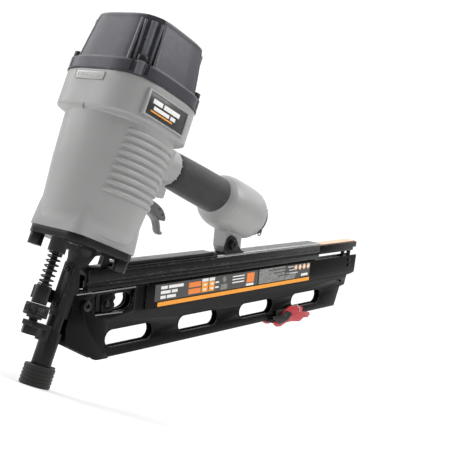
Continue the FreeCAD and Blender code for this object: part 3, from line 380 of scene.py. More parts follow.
def finish(name, colour, rough, metallic=0.0, specular=0.5, coat=0.0, grain=900, bump=0.15, depth=0.00005,
           vary=0.10, rough_vary=0.10, blotch=22, wear=None, wear_width=0.0006, sheen=0.0, second=None):
    """A material with mottled colour, uneven gloss, a fine grain and worn edges."""
    made = bpy.data.materials.new(name)
    made.use_nodes = True
    tree = made.node_tree
    tree.nodes.clear()
    link = tree.links.new

    def add(kind, inputs=None, **settings):
        node = tree.nodes.new(kind)
        for key, value in settings.items():
            setattr(node, key, value)
        for socket, value in (inputs or {}).items():
            node.inputs[socket].default_value = value
        return node

    def noise(scale, detail, roughness=0.55):
        node = add("ShaderNodeTexNoise", {"Scale": scale, "Detail": detail, "Roughness": roughness})
        link(place.outputs["Object"], node.inputs["Vector"])
        return node

    def ranged(source, low, high, first=0.3, last=0.7):
        node = add("ShaderNodeMapRange", {"From Min": first, "From Max": last, "To Min": low, "To Max": high})
        link(source, node.inputs["Value"])
        return node.outputs["Result"]

    place = add("ShaderNodeTexCoord")
    shader = add("ShaderNodeBsdfPrincipled", {
        "Metallic": metallic, "Specular IOR Level": specular, "Coat Weight": coat, "Coat Roughness": 0.12,
        "Sheen Weight": sheen, "Sheen Roughness": 0.5})
    output = add("ShaderNodeOutputMaterial")
    link(shader.outputs["BSDF"], output.inputs["Surface"])

    mottle = noise(blotch, 4)
    tint = add("ShaderNodeMix", data_type="RGBA")
    darker = [value * (1 - vary) for value in colour]
    lighter = second or [min(1, value * (1 + vary)) for value in colour]
    tint.inputs[MIX_A].default_value = (*darker, 1)
    tint.inputs[MIX_B].default_value = (*lighter, 1)
    link(ranged(mottle.outputs["Fac"], 0, 1), tint.inputs[0])
    base = tint.outputs[MIX_RESULT]
    scuff = noise(blotch * 7, 5, 0.65)
    gloss = ranged(scuff.outputs["Fac"], max(rough - rough_vary, 0.05), min(rough + rough_vary, 1))
    if wear:
        edge = add("ShaderNodeBevel", {"Radius": wear_width}, samples=4)
        surface = add("ShaderNodeNewGeometry")
        likeness = add("ShaderNodeVectorMath", operation="DOT_PRODUCT")
        link(edge.outputs["Normal"], likeness.inputs[0])
        link(surface.outputs["Normal"], likeness.inputs[1])
        at_edge = ranged(likeness.outputs["Value"], 0.9, 0, 0.90, 0.995)
        chips = ranged(noise(260, 6, 0.7).outputs["Fac"], 0, 1, 0.46, 0.62)
        both = add("ShaderNodeMath", operation="MULTIPLY")
        link(at_edge, both.inputs[0])
        link(chips, both.inputs[1])
        worn = add("ShaderNodeMix", data_type="RGBA")
        worn.inputs[MIX_B].default_value = (*wear, 1)
        link(both.outputs[0], worn.inputs[0])
        link(base, worn.inputs[MIX_A])
        base = worn.outputs[MIX_RESULT]
    link(base, shader.inputs["Base Color"])
    link(gloss, shader.inputs["Roughness"])
    relief = add("ShaderNodeBump", {"Strength": bump, "Distance": depth})
    link(noise(grain, 3).outputs["Fac"], relief.inputs["Height"])
    link(relief.outputs["Normal"], shader.inputs["Normal"])
    return made


def ink(name, colour, vary, rough=0.42, **more):
    """A printed colour."""
    return finish(name, colour, rough, grain=1500, bump=0.05, vary=vary, **more)


CASTING = finish("painted_casting", (0.300, 0.300, 0.297), 0.46, metallic=0.12, coat=0.08, grain=1500,
                 bump=0.10, vary=0.035, rough_vary=0.06, blotch=14, wear=(0.44, 0.44, 0.43))
CAP_PAINT = finish("cap_paint", (0.042, 0.039, 0.049), 0.40, metallic=0.25, specular=0.4, coat=0.08,
                   grain=1300, bump=0.10, vary=0.05, rough_vary=0.06, wear=(0.22, 0.22, 0.24))
# Painted highlight: a lighter copy of the cap paint for the lit lips, columns and bosses in the cap's
# recesses.
CAP_HIGHLIGHT_PAINT = finish("cap_paint_highlight", (0.135, 0.140, 0.155), 0.32, metallic=0.35, grain=1300, bump=0.08,
                    vary=0.08)
GRIP_RUBBER = finish("grip_rubber", (0.020, 0.020, 0.020), 0.62, specular=0.30, grain=700, bump=0.35,
                     depth=0.00012, vary=0.15, sheen=0.15, blotch=40)
FOOT_RUBBER = finish("foot_rubber", (0.020, 0.020, 0.019), 0.58, specular=0.25, grain=600, bump=0.35,
                     depth=0.0001, vary=0.2, blotch=60, sheen=0.1)
SEAL_RUBBER = finish("seal_rubber", (0.015, 0.015, 0.015), 0.5, bump=0.1, vary=0.2)
GASKET = finish("gasket_sheet", (0.02, 0.02, 0.022), 0.7, grain=1200, bump=0.3, vary=0.2)
BLACK_GLOSS = finish("magazine_enamel", (0.0045, 0.0042, 0.004), 0.24, specular=0.08, coat=0.025, grain=700,
                     bump=0.05, vary=0.12, rough_vary=0.06, wear=(0.10, 0.10, 0.10), wear_width=0.0005)
RAIL_BLACK = finish("rail_anodised", (0.007, 0.007, 0.0075), 0.32, metallic=0.2, specular=0.20, grain=1400,
                    bump=0.12, vary=0.12, rough_vary=0.07, wear=(0.30, 0.30, 0.29), wear_width=0.0007)
NOSE_BLACK = finish("blackened_steel", (0.010, 0.010, 0.0105), 0.38, metallic=0.2, specular=0.25, grain=1000,
                    bump=0.25, depth=0.00008, vary=0.22, rough_vary=0.12, wear=(0.16, 0.16, 0.17),
                    wear_width=0.0007)
FASTENER = finish("black_oxide", (0.030, 0.030, 0.032), 0.34, metallic=0.75, grain=1500, bump=0.12, vary=0.2,
                  wear=(0.3, 0.3, 0.31), wear_width=0.0004)
DARK_SPRING = finish("oiled_spring", (0.035, 0.035, 0.037), 0.33, metallic=0.8, grain=1800, bump=0.1,
                     vary=0.2)
SPRING_STEEL = finish("spring_steel", (0.48, 0.48, 0.47), 0.28, metallic=1.0, grain=1500, bump=0.1, vary=0.1)
ALLOY = finish("turned_alloy", (0.55, 0.55, 0.54), 0.33, metallic=1.0, grain=1600, bump=0.12, vary=0.08)
TRIGGER_DARK = finish("trigger_dark", (0.085, 0.085, 0.085), 0.5, metallic=0.1, grain=1200, bump=0.15,
                      vary=0.08, wear=(0.2, 0.2, 0.2), wear_width=0.0004)
TRIGGER_LIGHT = finish("trigger_light", (0.17, 0.17, 0.165), 0.45, metallic=0.2, grain=1200, bump=0.12,
                       vary=0.08, wear=(0.32, 0.32, 0.31), wear_width=0.0004)
PUSHER_BLACK = finish("pusher_moulding", (0.008, 0.008, 0.0085), 0.42, specular=0.25, grain=1100, bump=0.2,
                      vary=0.15)
LEVER_RED = finish("lever_red", (0.40, 0.012, 0.020), 0.36, coat=0.15, bump=0.12, vary=0.12)
TAN = finish("wear_strip_tan", (0.72, 0.42, 0.24), 0.42, bump=0.1, vary=0.06, coat=0.15)
VALVE_PLASTIC = finish("valve_plastic", (0.62, 0.60, 0.55), 0.4, bump=0.1, vary=0.06)
INK_ORANGE = ink("ink_orange", (0.86, 0.33, 0.030), 0.04, 0.40)
INK_AMBER = ink("ink_amber", (0.80, 0.22, 0.035), 0.05)
INK_WHITE = ink("ink_white", (0.78, 0.78, 0.76), 0.03)
INK_GREY = ink("ink_grey", (0.060, 0.058, 0.055), 0.08)
INK_SPECKLE = ink("ink_speckle", (0.105, 0.105, 0.10), 0.3, blotch=420, second=[0.34, 0.34, 0.33])
INK_TAN = ink("ink_tan", (0.85, 0.56, 0.36), 0.06)
BADGE_BLACK = finish("badge_black", (0.022, 0.022, 0.022), 0.32, coat=0.2, grain=1200, bump=0.05, vary=0.1)
# Painted highlight: a lighter grey metal for thin strips on the magazine sheets' edges, standing in for light
# caught there.
EDGE_HIGHLIGHT_PAINT = finish("painted_edge_highlight", (0.23, 0.23, 0.24), 0.36, metallic=0.7, grain=1200, bump=0.1, vary=0.12)
# Painted highlight: a bright metal for strips along the rail's top edges, standing in for light falling on
# them.
RAIL_HIGHLIGHT_PAINT = finish("painted_rail_highlight", (0.60, 0.60, 0.60), 0.34, metallic=0.85, grain=1200, bump=0.1,
                   vary=0.12)
PLATE_GREY = finish("plate_grey", (0.40, 0.40, 0.39), 0.38, metallic=0.15, coat=0.1, grain=1200, bump=0.06,
                    vary=0.04)


# ---------------------------------------------------------------- housing


def barrel_radius(z):
    """The barrel's half width at a height, rounded in at its lower end."""
    wide = 45.9 + 0.052 * (max(z, 157) - 157)
    if z >= 158:
        return wide
    drop = min(1, (158 - z) / 17)
    return 32.5 + (wide - 32.5) * (1 - drop ** 3) ** (1 / 3)


def barrel_power(z):
    """How square the barrel is at a height: round at its foot and squarer under the head."""
    return 2.02 + 0.2 * min(1, max(0, (z - 160) / 40))


def valve_bore(top):
    """The room round the trigger valve, up to a height."""
    return lathe("z", (STEM_X, 0), [(198, VALVE_RADIUS), (top, VALVE_RADIUS)], 32)


def lever_room(front):
    """The slot in which the trip lever swings, from its front end."""
    return box((front, 80), (-4.4, 4.4), (190, 203.3))


def make_housing():
    """The casting: the barrel on its base, the head, the handle, the rear bulge and the lug."""
    levels = [141.05, 141.2, 141.5, 142, 142.8, 144, 146, 149, 153, 158, 170, 180, 190, 200, 215, 230,
              HEAD_TOP - 34]
    barrel = column([(z, barrel_radius(z), barrel_radius(z), barrel_power(z)) for z in levels])
    base = column([(PLATE_TOP - 2, BASE_X, BASE_Y, 7.5), (142, BASE_X, BASE_Y, 7.5), (158, 40.0, 34.4, 6.4),
                   (174, 39.0, 33.8, 5.4), (192, 37.4, 32.6, 4.6)])
    head = column([(243, 47.6, 47.6, 2.3), (246.2, 48.6, 48.9, 2.5), (247.6, 51.2, 51.6, 3.3),
                   (249, HEAD_X, HEAD_Y, 3.7), (HEAD_TOP + 3, HEAD_X, HEAD_Y, 3.7)])
    root = [box((34, 58.5), (-19, 19), (206, 249)),
            slab([(40, 203), (75, 203), (75, 214), (64, 219), (58, 240), (40, 240)], -11, 11)]
    handle = [lathe("x", (0, HANDLE_Z), [(30, 19), (GRIP_START - 0.8, 19)]),
              lathe("x", (0, HANDLE_Z), [(60, 16.6), (172, 16.6)])]
    bulge = lathe("x", (0, END_Z), [(150, 8), (163.5, 20.4), (166, 23.8), (170, 26.8), (176, 28.8),
                                    (184, 29.6),
                                    (214, 29.6), (224, 28.8), (230, 27.2), (234.6, 24.4), (END_X, 21.4)])
    lug = leaned(slab([(251, 150), (251, 110), (255, 102.4), (277, 102.4), (277, 150)], -10, 10))
    web = leaned(slab([(248, 140), (256, 122), (274, 122), (288, 141)], -5, 5))
    obj = cast("housing_casting", [barrel, base, head, bulge, lug, web, *root, *handle], 0.8, 4)
    carved(obj, box((-80, 80), (-80, 80), (HEAD_TOP, HEAD_TOP + 30)))
    carved(obj, box((-80, 80), (-80, 80), (PLATE_TOP - 30, PLATE_TOP)))
    carved(obj, box((46.2, 52), (-26, 26), (PLATE_TOP - 2, 202)))
    carved(obj, lathe("z", (0, 0), [(PLATE_TOP - 1, 29.9), (180, 30), (180.1, 36.2), (230, 42), (250, 45),
                                    (HEAD_TOP + 1, 45)]))
    carved(obj, valve_bore(HANDLE_Z - 2))
    carved(obj, lever_room(46))
    carved(obj, lathe("x", (0, END_Z), [(223, 12.2), (END_X + 2, 12.2)], 48))
    dressed(obj, CASTING, "housing", 50)
    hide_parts("housing")


def make_handle_root():
    """The squared block behind the barrel, and the bracket and ears that hold the trigger."""
    block = piece("handle_root", box((36, 63.6), (-19.1, 19.1), (219, 249)))
    carved(block, valve_bore(HANDLE_Z - 2))
    dressed(edged(block, 1.6, 3), CASTING, "housing")
    bracket = piece("trigger_bracket", slab([(40, 203), (57.8, 203), (75.0, 204.2), (75.0, 213), (67, 216.4),
                                              (63.8, 220), (63.8, 240), (40, 240)], -11.1, 11.1))
    carved(bracket, lever_room(38))
    carved(bracket, valve_bore(HANDLE_Z - 4))
    dressed(edged(bracket, 0.9, 3), CASTING, "housing")
    ears = [box((52, 61), (side * 7.4, side * 11), (186.5, 206)) for side in SIDES]
    fixed("trigger_ears", ears, CASTING, 1.6, 3)


def make_ribs():
    """Nine finger ribs on each side of the barrel, below the head."""
    shapes = []
    thick, steps, end = 2.7, 30, math.radians(-33)
    for side in SIDES:
        for index in range(9):
            z = 182 + 6.95 * index
            start = math.radians((-133.3 if side < 0 else -120) + 0.6 * index)
            rings = []
            for step in range(steps + 1):
                t = step / steps
                left = min(t, 1 - t)
                swell = math.sin(math.pi * left * 7) if left < 1 / 14 else 1
                azimuth = start + (end - start) * t
                ring = []
                for turn in range(10):
                    angle = math.tau * turn / 10
                    out = -0.6 + thick * swell * math.cos(angle)
                    height = z + thick * (0.25 + 0.75 * swell) * math.sin(angle)
                    x, y = rim_point(azimuth, barrel_radius(height) + out, barrel_power(height))
                    ring.append((x, -side * y, height))
                rings.append(ring)
            shapes.append(skin(rings))
    obj = piece("barrel_ribs", *shapes)
    dressed(obj, CASTING, "housing", 60)


def make_bulge_marks():
    """Two rings of small raised marks round the rear end of the handle, and a hanging ring."""
    shapes = []
    for index in range(26):
        angle = math.tau * index / 26
        for x, radius, size in ((223.6, 28.5, 0.75), (227.0, 27.8, 0.6)):
            centre = Vector((x, radius * math.cos(angle), radius * math.sin(angle)))
            rings = []
            for level in range(5):
                tilt = math.pi * (level + 0.5) / 5
                rings.append([(centre.x + size * math.sin(tilt) * math.cos(math.tau * turn / 8),
                               centre.y + size * math.sin(tilt) * math.sin(math.tau * turn / 8),
                               END_Z + centre.z + size * math.cos(tilt)) for turn in range(8)])
            shapes.append(skin(rings))
    fixed("handle_end_marks", shapes, CASTING)
    ring = [(233 + 1.0 * math.cos(t), -22.4 + 2.6 * math.cos(t), 216.6 + 2.9 * math.sin(t))
            for t in (math.tau * step / 20 for step in range(20))]
    clip = [tube(ring, 0.55, 8, closed=True),
            lathe("x", (-20.6, 220.6), [(228, 1.9), (236.5, 1.9), (237.2, 1.5)], 20)]
    fixed("hanging_ring", clip, FASTENER)


def make_badges():
    """A framed plain badge on each side of the head."""
    low, high = span("name_plates", "z")
    left, right = span("name_plates", "x")
    outer_x, outer_z = (left + 0.4, right - 0.4), (low + 0.4, high - 0.4)
    inner_x, inner_z = (left + 3.2, right - 3.0), (low + 2.0, high - 2.2)
    upright = (inner_z[0] - 0.3, inner_z[1] + 0.3)
    face = (HEAD_Y + 0.4, HEAD_Y + 0.95)
    middle = (low + high) / 2
    frames, plates, bars, lines = [], [], [], []
    for side in SIDES:
        def at(x, y, z):
            return box(x, tuple(sorted((side * y[0], side * y[1]))), z)
        for x, z in ((outer_x, (outer_z[0], inner_z[0])), (outer_x, (inner_z[1], outer_z[1])),
                     ((outer_x[0], inner_x[0]), upright), ((inner_x[1], outer_x[1]), upright)):
            frames.append(at(x, (HEAD_Y - 3, HEAD_Y + 1.2), z))
        plates.append(at((inner_x[0] + 0.3, inner_x[1] - 0.3), (HEAD_Y - 1, HEAD_Y + 0.55),
                         (inner_z[0] + 0.3, inner_z[1] - 0.3)))
        for start, end, bottom, top in ((9, 22, 1.2, 5.4), (24, 47, 1.2, 5.4), (12, 34, -4.0, -0.6),
                                        (36, 43, -4.0, -0.6)):
            bars.append(at((left + start, left + end), face, (middle + bottom, middle + top)))
        lines.append(at((left + 9, left + 40), face, (middle - 6.6, middle - 5.3)))
    fixed("badge_frames", frames, CASTING, 0.5)
    holder = fixed("badge_plates", plates, BADGE_BLACK, 0.25)
    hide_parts("name_plates")
    fixed("badge_bars", bars, INK_WHITE, 0.2)
    fixed("badge_lines", lines, INK_ORANGE, 0.15)


def make_front_plate():
    """A small plain plate on the head's front, with upright bars in a rim, and the mould mark under it."""
    (y0, y1), (z0, z1) = span("front_plate", "y"), span("front_plate", "z")
    front = -HEAD_X
    raised = (front - 0.9, front)
    shapes = [box((front - 0.6, front + 2), (y0, y1), (z0, z1)),
              box(raised, (y0 - 0.5, y1 + 0.5), (z0 - 0.5, z0)),
              box(raised, (y0 - 0.5, y0), (z0, z1)),
              box(raised, (y1, y1 + 0.5), (z0, z1))]
    for index in range(11):
        place = y0 + 3.2 + index * (y1 - y0 - 6.4) / 10
        shapes.append(box(raised, (place - 0.6, place + 0.6), (z0 + 1.5, z1 - 1.5)))
    plate = edged(piece("front_plate_detail", *shapes), 0.2)
    dressed(plate, PLATE_GREY, "housing")
    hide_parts("front_plate")
    mark = box((front - 0.4, front + 3), (-0.35, 0.35), (245.5, 250.5))
    fixed("mould_mark", [mark], CASTING, 0.3)


# ---------------------------------------------------------------- cap


def cap_half(z):
    """The dome's half width at a height."""
    t = (z - FLANGE_TOP) / (CAP_TOP - 3 - FLANGE_TOP)
    return 48.5 - 4.3 * t - 1.0 * t * t


def corner_frame(sx, sy):
    """A cap screw's place, its outward and sideways directions, and its recess's share of full width."""
    centre = Vector((sx * SCREW_X, sy * SCREW_Y))
    out = centre.normalized()
    return centre, out, Vector((-out.y, out.x)), 1.0 if sx == sy else 0.66


def make_cap():
    """The cap: a squared dome on a flange, with a recess and two drains at each corner screw."""
    dome = column([(FLANGE_TOP - 4, 48.6, 48.6, CAP_POWER), (FLANGE_TOP, 48.5, 48.5, CAP_POWER)]
                  + [(z, cap_half(z), cap_half(z), CAP_POWER) for z in (310, 322, 332, CAP_SHOULDER)]
                  + [(CAP_TOP - 1.8, 43.4, 43.4, CAP_POWER), (CAP_TOP - 0.2, 42.6, 42.6, 3.9),
                     (CAP_TOP + 0.8, 39.5, 39.5, 3.6), (CAP_TOP + 1.3, 33, 33, 3.0)])
    flange = column([(CAP_BOTTOM, HEAD_X, HEAD_Y, 3.7), (FLANGE_TOP - 1, HEAD_X, HEAD_Y, 3.7),
                     (FLANGE_TOP, HEAD_X - 1.2, HEAD_Y - 1.2, 3.7)])
    obj = cast("cap_casting", [dome, flange], 0.8, 3)
    carved(obj, box((-80, 80), (-80, 80), (CAP_BOTTOM - 20, CAP_BOTTOM)))
    for sx, sy in CORNERS:
        centre, out, side, wide = corner_frame(sx, sy)
        outline = [centre - side * 10.6 * wide - out * 5.5, centre - side * 8 * wide - out * 8.8,
                   centre + side * 8 * wide - out * 8.8, centre + side * 10.6 * wide - out * 5.5,
                   centre + side * 12.2 * wide + out * 22, centre - side * 12.2 * wide + out * 22]
        carved(obj, skin([[(p.x, p.y, z) for p in outline] for z in (FLANGE_TOP + 0.05, CAP_TOP + 5)]))
        for step in SIDES:
            drain = centre + out * 3.6 + side * step * 6.6
            carved(obj, lathe("z", (drain.x, drain.y), [(CAP_BOTTOM + 2, 1.9), (FLANGE_TOP + 2, 1.9)], 16))
    carved(obj, lathe("z", (0, 0), [(CAP_BOTTOM - 2, 32.2), (317, 32.2)]))
    carved(obj, lathe("z", (0, 0), [(CAP_TOP - 14, 3.1), (CAP_TOP + 2, 3.1)], 24))
    dressed(obj, CAP_PAINT, "housing", 32)
    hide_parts("top_cap")


def make_cap_recesses():
    """The lips, columns and bosses in the cap's four corner recesses, in a lighter copy of the cap paint that
    is a painted highlight.
    """
    lips, columns, bosses = [], [], []
    for sx, sy in CORNERS:
        centre, out, side, wide = corner_frame(sx, sy)
        base = math.atan2(centre.y, centre.x)
        for step in SIDES:
            azimuth = base + step * math.atan2(11.9 * wide, 50)
            path = [(*rim_point(azimuth, cap_half(z) - 0.5, CAP_POWER), z)
                    for z in (FLANGE_TOP + 0.4, 305, 315, 325, 333, CAP_SHOULDER + 0.4)]
            lips.append(tube(path, 1.25, 10))
            wall = centre + side * step * 7.6 * wide - out * 6.6
            lips.append(tube([(wall.x, wall.y, FLANGE_TOP + 1), (wall.x, wall.y, CAP_SHOULDER - 1)], 1.5, 10))
        inner = centre - out * 7.2
        columns.append(tube([(inner.x, inner.y, FLANGE_TOP + 0.5), (inner.x, inner.y, CAP_SHOULDER - 0.6)],
                            3.4, 20))
        boss = centre + out * 1.2
        bosses.append(lathe("z", (boss.x, boss.y), [(CAP_BOTTOM + 0.2, 4.9), (FLANGE_TOP - 0.4, 4.9),
                                                    (FLANGE_TOP + 0.3, 4.3)], 32))
    # These parts take the lighter cap paint as a painted highlight.
    for name, shapes in (("cap_recess_lips", lips), ("cap_recess_columns", columns),
                         ("cap_screw_bosses", bosses)):
        fixed(name, shapes, CAP_HIGHLIGHT_PAINT)


# ---------------------------------------------------------------- handle


def make_grip():
    """The rubber sleeve, with a scalloped front edge, and the collar's scallops before it."""
    profile = [(GRIP_START, 17.0), (GRIP_START, 17.9), (GRIP_START + 0.8, 18.6)]
    for step in range(1, 12):
        t = step / 12
        profile.append((GRIP_START + 1 + (GRIP_END - GRIP_START - 2) * t,
                        18.6 + (GRIP_RADIUS - 18.6) * t + 0.35 * math.sin(math.pi * t)))
    profile += [(GRIP_END - 1.6, GRIP_RADIUS), (GRIP_END - 0.5, GRIP_RADIUS - 0.5),
                (GRIP_END, GRIP_RADIUS - 1.6),
                (GRIP_END, 17.0)]
    steps = 96
    rings = []
    for index, (x, radius) in enumerate(profile):
        ring = []
        for step in range(steps):
            angle = math.tau * step / steps
            wave = 0.2 * max(0, math.cos(16 * angle)) if index in (1, 2) else 0
            ring.append((x + wave, radius * math.cos(angle), HANDLE_Z + radius * math.sin(angle)))
        rings.append(ring)
    obj = piece("grip_rubber_sleeve", skin(rings, closed=True))
    dressed(obj, GRIP_RUBBER, "housing", 60)
    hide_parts("grip_sleeve")
    bumps = []
    for step in range(16):
        angle = math.tau * (step + 0.5) / 16
        y, z = 18.2 * math.cos(angle), HANDLE_Z + 18.2 * math.sin(angle)
        bumps.append(lathe("x", (y, z), [(GRIP_START - 1.6, 0.2), (GRIP_START - 1.0, 0.6),
                                         (GRIP_START - 0.4, 0.8),
                                         (GRIP_START + 0.2, 0.6)], 12))
    fixed("collar_scallops", bumps, CASTING, angle=60)


# ---------------------------------------------------------------- trigger


def make_trigger():
    """The trigger's upper shell, hollowed for the trip lever and bored for its pin."""
    upper = smooth_outline([(52, 187.3), (51.8, 194), (57, 197.6), (66, 198.1), (76, 197), (85, 194.2),
                            (91.4, 189.2), (92.6, 185.2), (88.4, 184.2), (77, 186.4), (64, 186.9)])
    shell = piece("trigger_body", slab(upper, -6.5, 6.5))
    carved(shell, box((40, 85), (-3.9, 3.9), (189.2, 210)))
    carved(shell, lathe("y", (56, 192.5), [(-20, 2.05), (20, 2.05)], 32))
    edged(shell, 0.9, 3)
    dressed(shell, TRIGGER_DARK, "trigger")
    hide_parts("trigger")


def make_trigger_finger():
    """The curled lower lip of the trigger, and its rivet."""
    path = spline([(66, 0, 186.6), (76, 0, 186.2), (84, 0, 183.4), (89, 0, 178.6), (92.4, 0, 173.8),
                   (95.4, 0, 172.2), (97, 0, 173.2)], 6)
    rings = []
    for index, point in enumerate(path):
        ahead, behind = path[min(index + 1, len(path) - 1)], path[max(index - 1, 0)]
        tangent = (ahead - behind).normalized()
        up = Vector((tangent.z, 0, -tangent.x))
        t = index / (len(path) - 1)
        thick = 1.5 + 0.5 * math.sin(math.pi * t)
        half = 5.4 * (1 - 0.25 * t)
        if index in (0, len(path) - 1):
            thick, half = thick * 0.5, half * 0.8
        rings.append([tuple(point + Vector((0, a, 0)) + up * b)
                      for a, b in superellipse(half, thick, 3.2, 24)])
    finger = piece("trigger_finger", skin(rings))
    dressed(finger, TRIGGER_LIGHT, "trigger", 50)
    rivet = lathe("y", (86.5, 189.6), [(-7.0, 1.0), (-6.3, 1.0)], 16)
    dressed(piece("trigger_rivet", rivet), FASTENER, "trigger")


# ---------------------------------------------------------------- nose


def make_coil(node, turns, mean, wire, material):
    """A coil spring with closed ends, in a CAD node's place."""
    low, high = span(node, "z")
    x = sum(span(node, "x")) / 2
    points = []
    for step in range(turns * 26 + 1):
        t = step / (turns * 26)
        angle = math.tau * turns * t
        lead = 0.5 - 0.5 * math.cos(math.pi * min(1, max(0, (t - 0.07) / 0.86)))
        even = min(1, max(0, (t - 0.09) / 0.82))
        level = low + wire + (high - low - 2 * wire) * (0.15 * lead + 0.85 * even)
        points.append((x + mean * math.cos(angle), mean * math.sin(angle), level))
    obj = piece(node + "_wire", tube(points, wire, 8))
    dressed(obj, material, "housing", 60)
    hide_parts(node)
    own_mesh(obj)


def make_wheel():
    """The depth wheel: a ring with rounded rims and a fine knurl, on a small hub."""
    low, high = span("depth_wheel", "z")
    x = sum(span("depth_wheel", "x")) / 2
    bottom = low + 2
    profile = [(low, 4.5), (low, 6.6), (low + 0.4, 7), (bottom, 7), (bottom, 10.2), (bottom + 0.8, 10.9),
               (bottom + 2.2, 10.9), (bottom + 3.0, 10.35), (bottom + 8.0, 10.35), (bottom + 8.8, 10.9),
               (high - 0.8, 10.9), (high, 10.2), (high, 4.5)]
    shapes = [lathe("z", (x, 0), profile, 72, closed=True)]
    for step in range(36):
        angle = math.tau * step / 36
        tooth_x, tooth_y = x + 10.35 * math.cos(angle), 10.35 * math.sin(angle)
        shapes.append(tube([(tooth_x, tooth_y, bottom + 2.8), (tooth_x, tooth_y, bottom + 8.2)], 0.42, 8))
    obj = piece("knurled_wheel", *shapes)
    dressed(obj, NOSE_BLACK, "depth_wheel", 40)
    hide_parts("depth_wheel")


def make_foot():
    """The rubber no-mar foot: a grooved cup with a toe at its rear."""
    top = span("no_mar_foot", "z")[1] - 1.5
    profile = [(0, 6.1), (0, 13.0), (0.5, 13.9), (1.6, 14.25)]
    for index in range(4):
        z = 2.6 + index * 3.2
        profile += [(z, 14.35), (z + 0.7, 14.35), (z + 1.2, 13.75), (z + 1.9, 13.75), (z + 2.4, 14.35)]
    profile += [(top - 1.4, 14.3), (top - 0.5, 14.0), (top, 13.2), (top, 11.2), (top - 1.1, 10.2),
                (top - 1.6, 9.3), (4.0, 9.3), (4.0, 6.1)]
    toe = rounded([(11, -3.6), (16.8, -2.6), (16.8, 2.6), (11, 3.6)], 1.2)
    shapes = [lathe("z", (0, 0), profile, 72, closed=True),
              skin([[(x, y, z) for x, y in toe] for z in (top - 4.5, top + 1.0)])]
    obj = piece("foot_rubber_shoe", *shapes)
    dressed(obj, FOOT_RUBBER, "contact_tip", 40)
    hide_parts("no_mar_foot")


def make_nose_fillets():
    """Cast fillets that flare the nose column out to its plate."""
    bottom = PLATE_TOP - 18.2
    rings = []
    for step in range(9):
        t = step / 8
        spread = 1 - math.sqrt(1 - t * t)
        outline = superellipse(7.6 + 6.5 * spread, 5.9 + 5.5 * spread, 3.4, 48, (3.2, 0))
        rings.append([(x, y, bottom + 11.6 * t) for x, y in outline])
    fixed("nose_fillets", [skin(rings)], NOSE_BLACK, angle=50)


# ---------------------------------------------------------------- magazine


def make_magazine():
    """A folded sheet on each side: a raised clasp, a slotted web and a raised label panel."""
    web = [(65, PLATE_HIGH), (65, 14), (66.8, 13.4), (84, 12.8), (506.1, 12.8), (516.3, 37.9), (528, 39.5),
           (531, 50.3), (533, 54.7), (131.5, 54.7), (131.5, PLATE_HIGH)]
    clasp = [(36.2, PLATE_HIGH), (27.1, 48.6), (28.1, 33.4), (66.8, 13.4), (84, 12.8), (77, 24), (77, 50),
             (115, 54), (115, PLATE_HIGH)]
    clasp_room = [(10, 90), (10, 0), (82.9, 0), (82.9, 12.8), (75.9, 23.6), (75.9, 51.1), (113.9, 55.1),
                  (113.9, 90)]
    panel = [(131, PLATE_HIGH), (131, 53.6), (533, 53.6), (546.2, 55.7), (547.7, PLATE_HIGH)]
    panel_room = [(132.1, 90), (132.1, 54.7), (560, 54.7), (560, 90)]
    flange = [(131, PLATE_HIGH), (131, 78.8), (RAIL_END, 78.8), (RAIL_END, PLATE_HIGH)]
    upright = [(65, 82.15), (65, 78.5), (RAIL_END, 78.5), (RAIL_END, 82.15)]
    window = [(59.5, 78.2), (60.8, 58.5), (99, 57.3), (106, 60), (112.6, 72), (113.2, 78.2)]
    hole = smooth_outline([(87.6, 58.2), (96, 57.7), (105, 58.6), (110.6, 62), (112.2, 67), (110, 71.5),
                           (104, 74.3), (96, 74.9), (89.6, 74.5), (90.4, 70.5), (88.2, 67.5), (90, 63.6)])
    rims, edges = [], []
    for side, node in ((-1, "magazine_left_plate"), (1, "magazine_right_plate")):
        def sheet(outline, low, high, round_by=2.0):
            low, high = sorted((side * low, side * high))
            return leaned(slab(rounded(outline, round_by), low, high))
        obj = piece(node + "_sheet", sheet(clasp, INNER_Y, CLASP_Y))
        carved(obj, sheet(panel, INNER_Y, PANEL_Y), "UNION")
        carved(obj, sheet(clasp_room, 2.0, 6.2, 1.2))
        carved(obj, sheet(panel_room, 2.0, 5.7, 1.2))
        carved(obj, sheet(web, 3.15, WEB_Y, 0.5), "UNION")
        carved(obj, sheet(flange, INNER_Y, 6.7, 0.2), "UNION")
        carved(obj, sheet(upright, 3.2, 4.3, 0.2), "UNION")
        for start in SLOT_STARTS:
            carved(obj, sheet(slot_outline(start, start + SLOT_LENGTH, SLOT_UP, SLOT_RADIUS), 0, 20, 0.01))
        carved(obj, sheet(hole, 0, 20, 0.01))
        carved(obj, sheet(window, 5, 20, 1.6))
        carved(obj, leaned(lathe("y", (47.8, 68.9), [(-20, 3.1), (20, 3.1)], 24)))
        edged(obj, 0.3)
        dressed(obj, BLACK_GLOSS, "housing")
        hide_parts(node)
        for start in SLOT_STARTS:
            rim = slot_outline(start, start + SLOT_LENGTH, SLOT_UP, SLOT_RADIUS + 0.5, 14)
            rims.append(leaned(tube([(x, side * 4.0, z) for x, z in rim], 0.6, 8, closed=True)))
        # Painted highlights: lighter strips along the clasp's top edges and the window's lower lip, where
        # light catches the sheet edges.
        for start, end, low, high in ((36.9, 56, 79.3, 80.6), (55.5, 114.6, 79.0, 80.2)):
            edges.append(sheet([(start, low), (end, low), (end, high), (start, high)], 6.1, 7.5, 0.2))
        edges.append(sheet([(62, 57.2), (98, 55.8), (98, 57.0), (62, 58.4)], 6.3, 7.5, 0.2))
    fixed("slot_rims", rims, BLACK_GLOSS, angle=60)
    fixed("clasp_highlight_strips", edges, EDGE_HIGHLIGHT_PAINT, 0.25)
    rivets = [leaned(lathe("y", (518, 45), [(side * 3.9, 1.7), (side * 4.9, 1.7), (side * 5.2, 1.2)], 20))
              for side in SIDES]
    fixed("tail_rivets", rivets, FASTENER, angle=40)


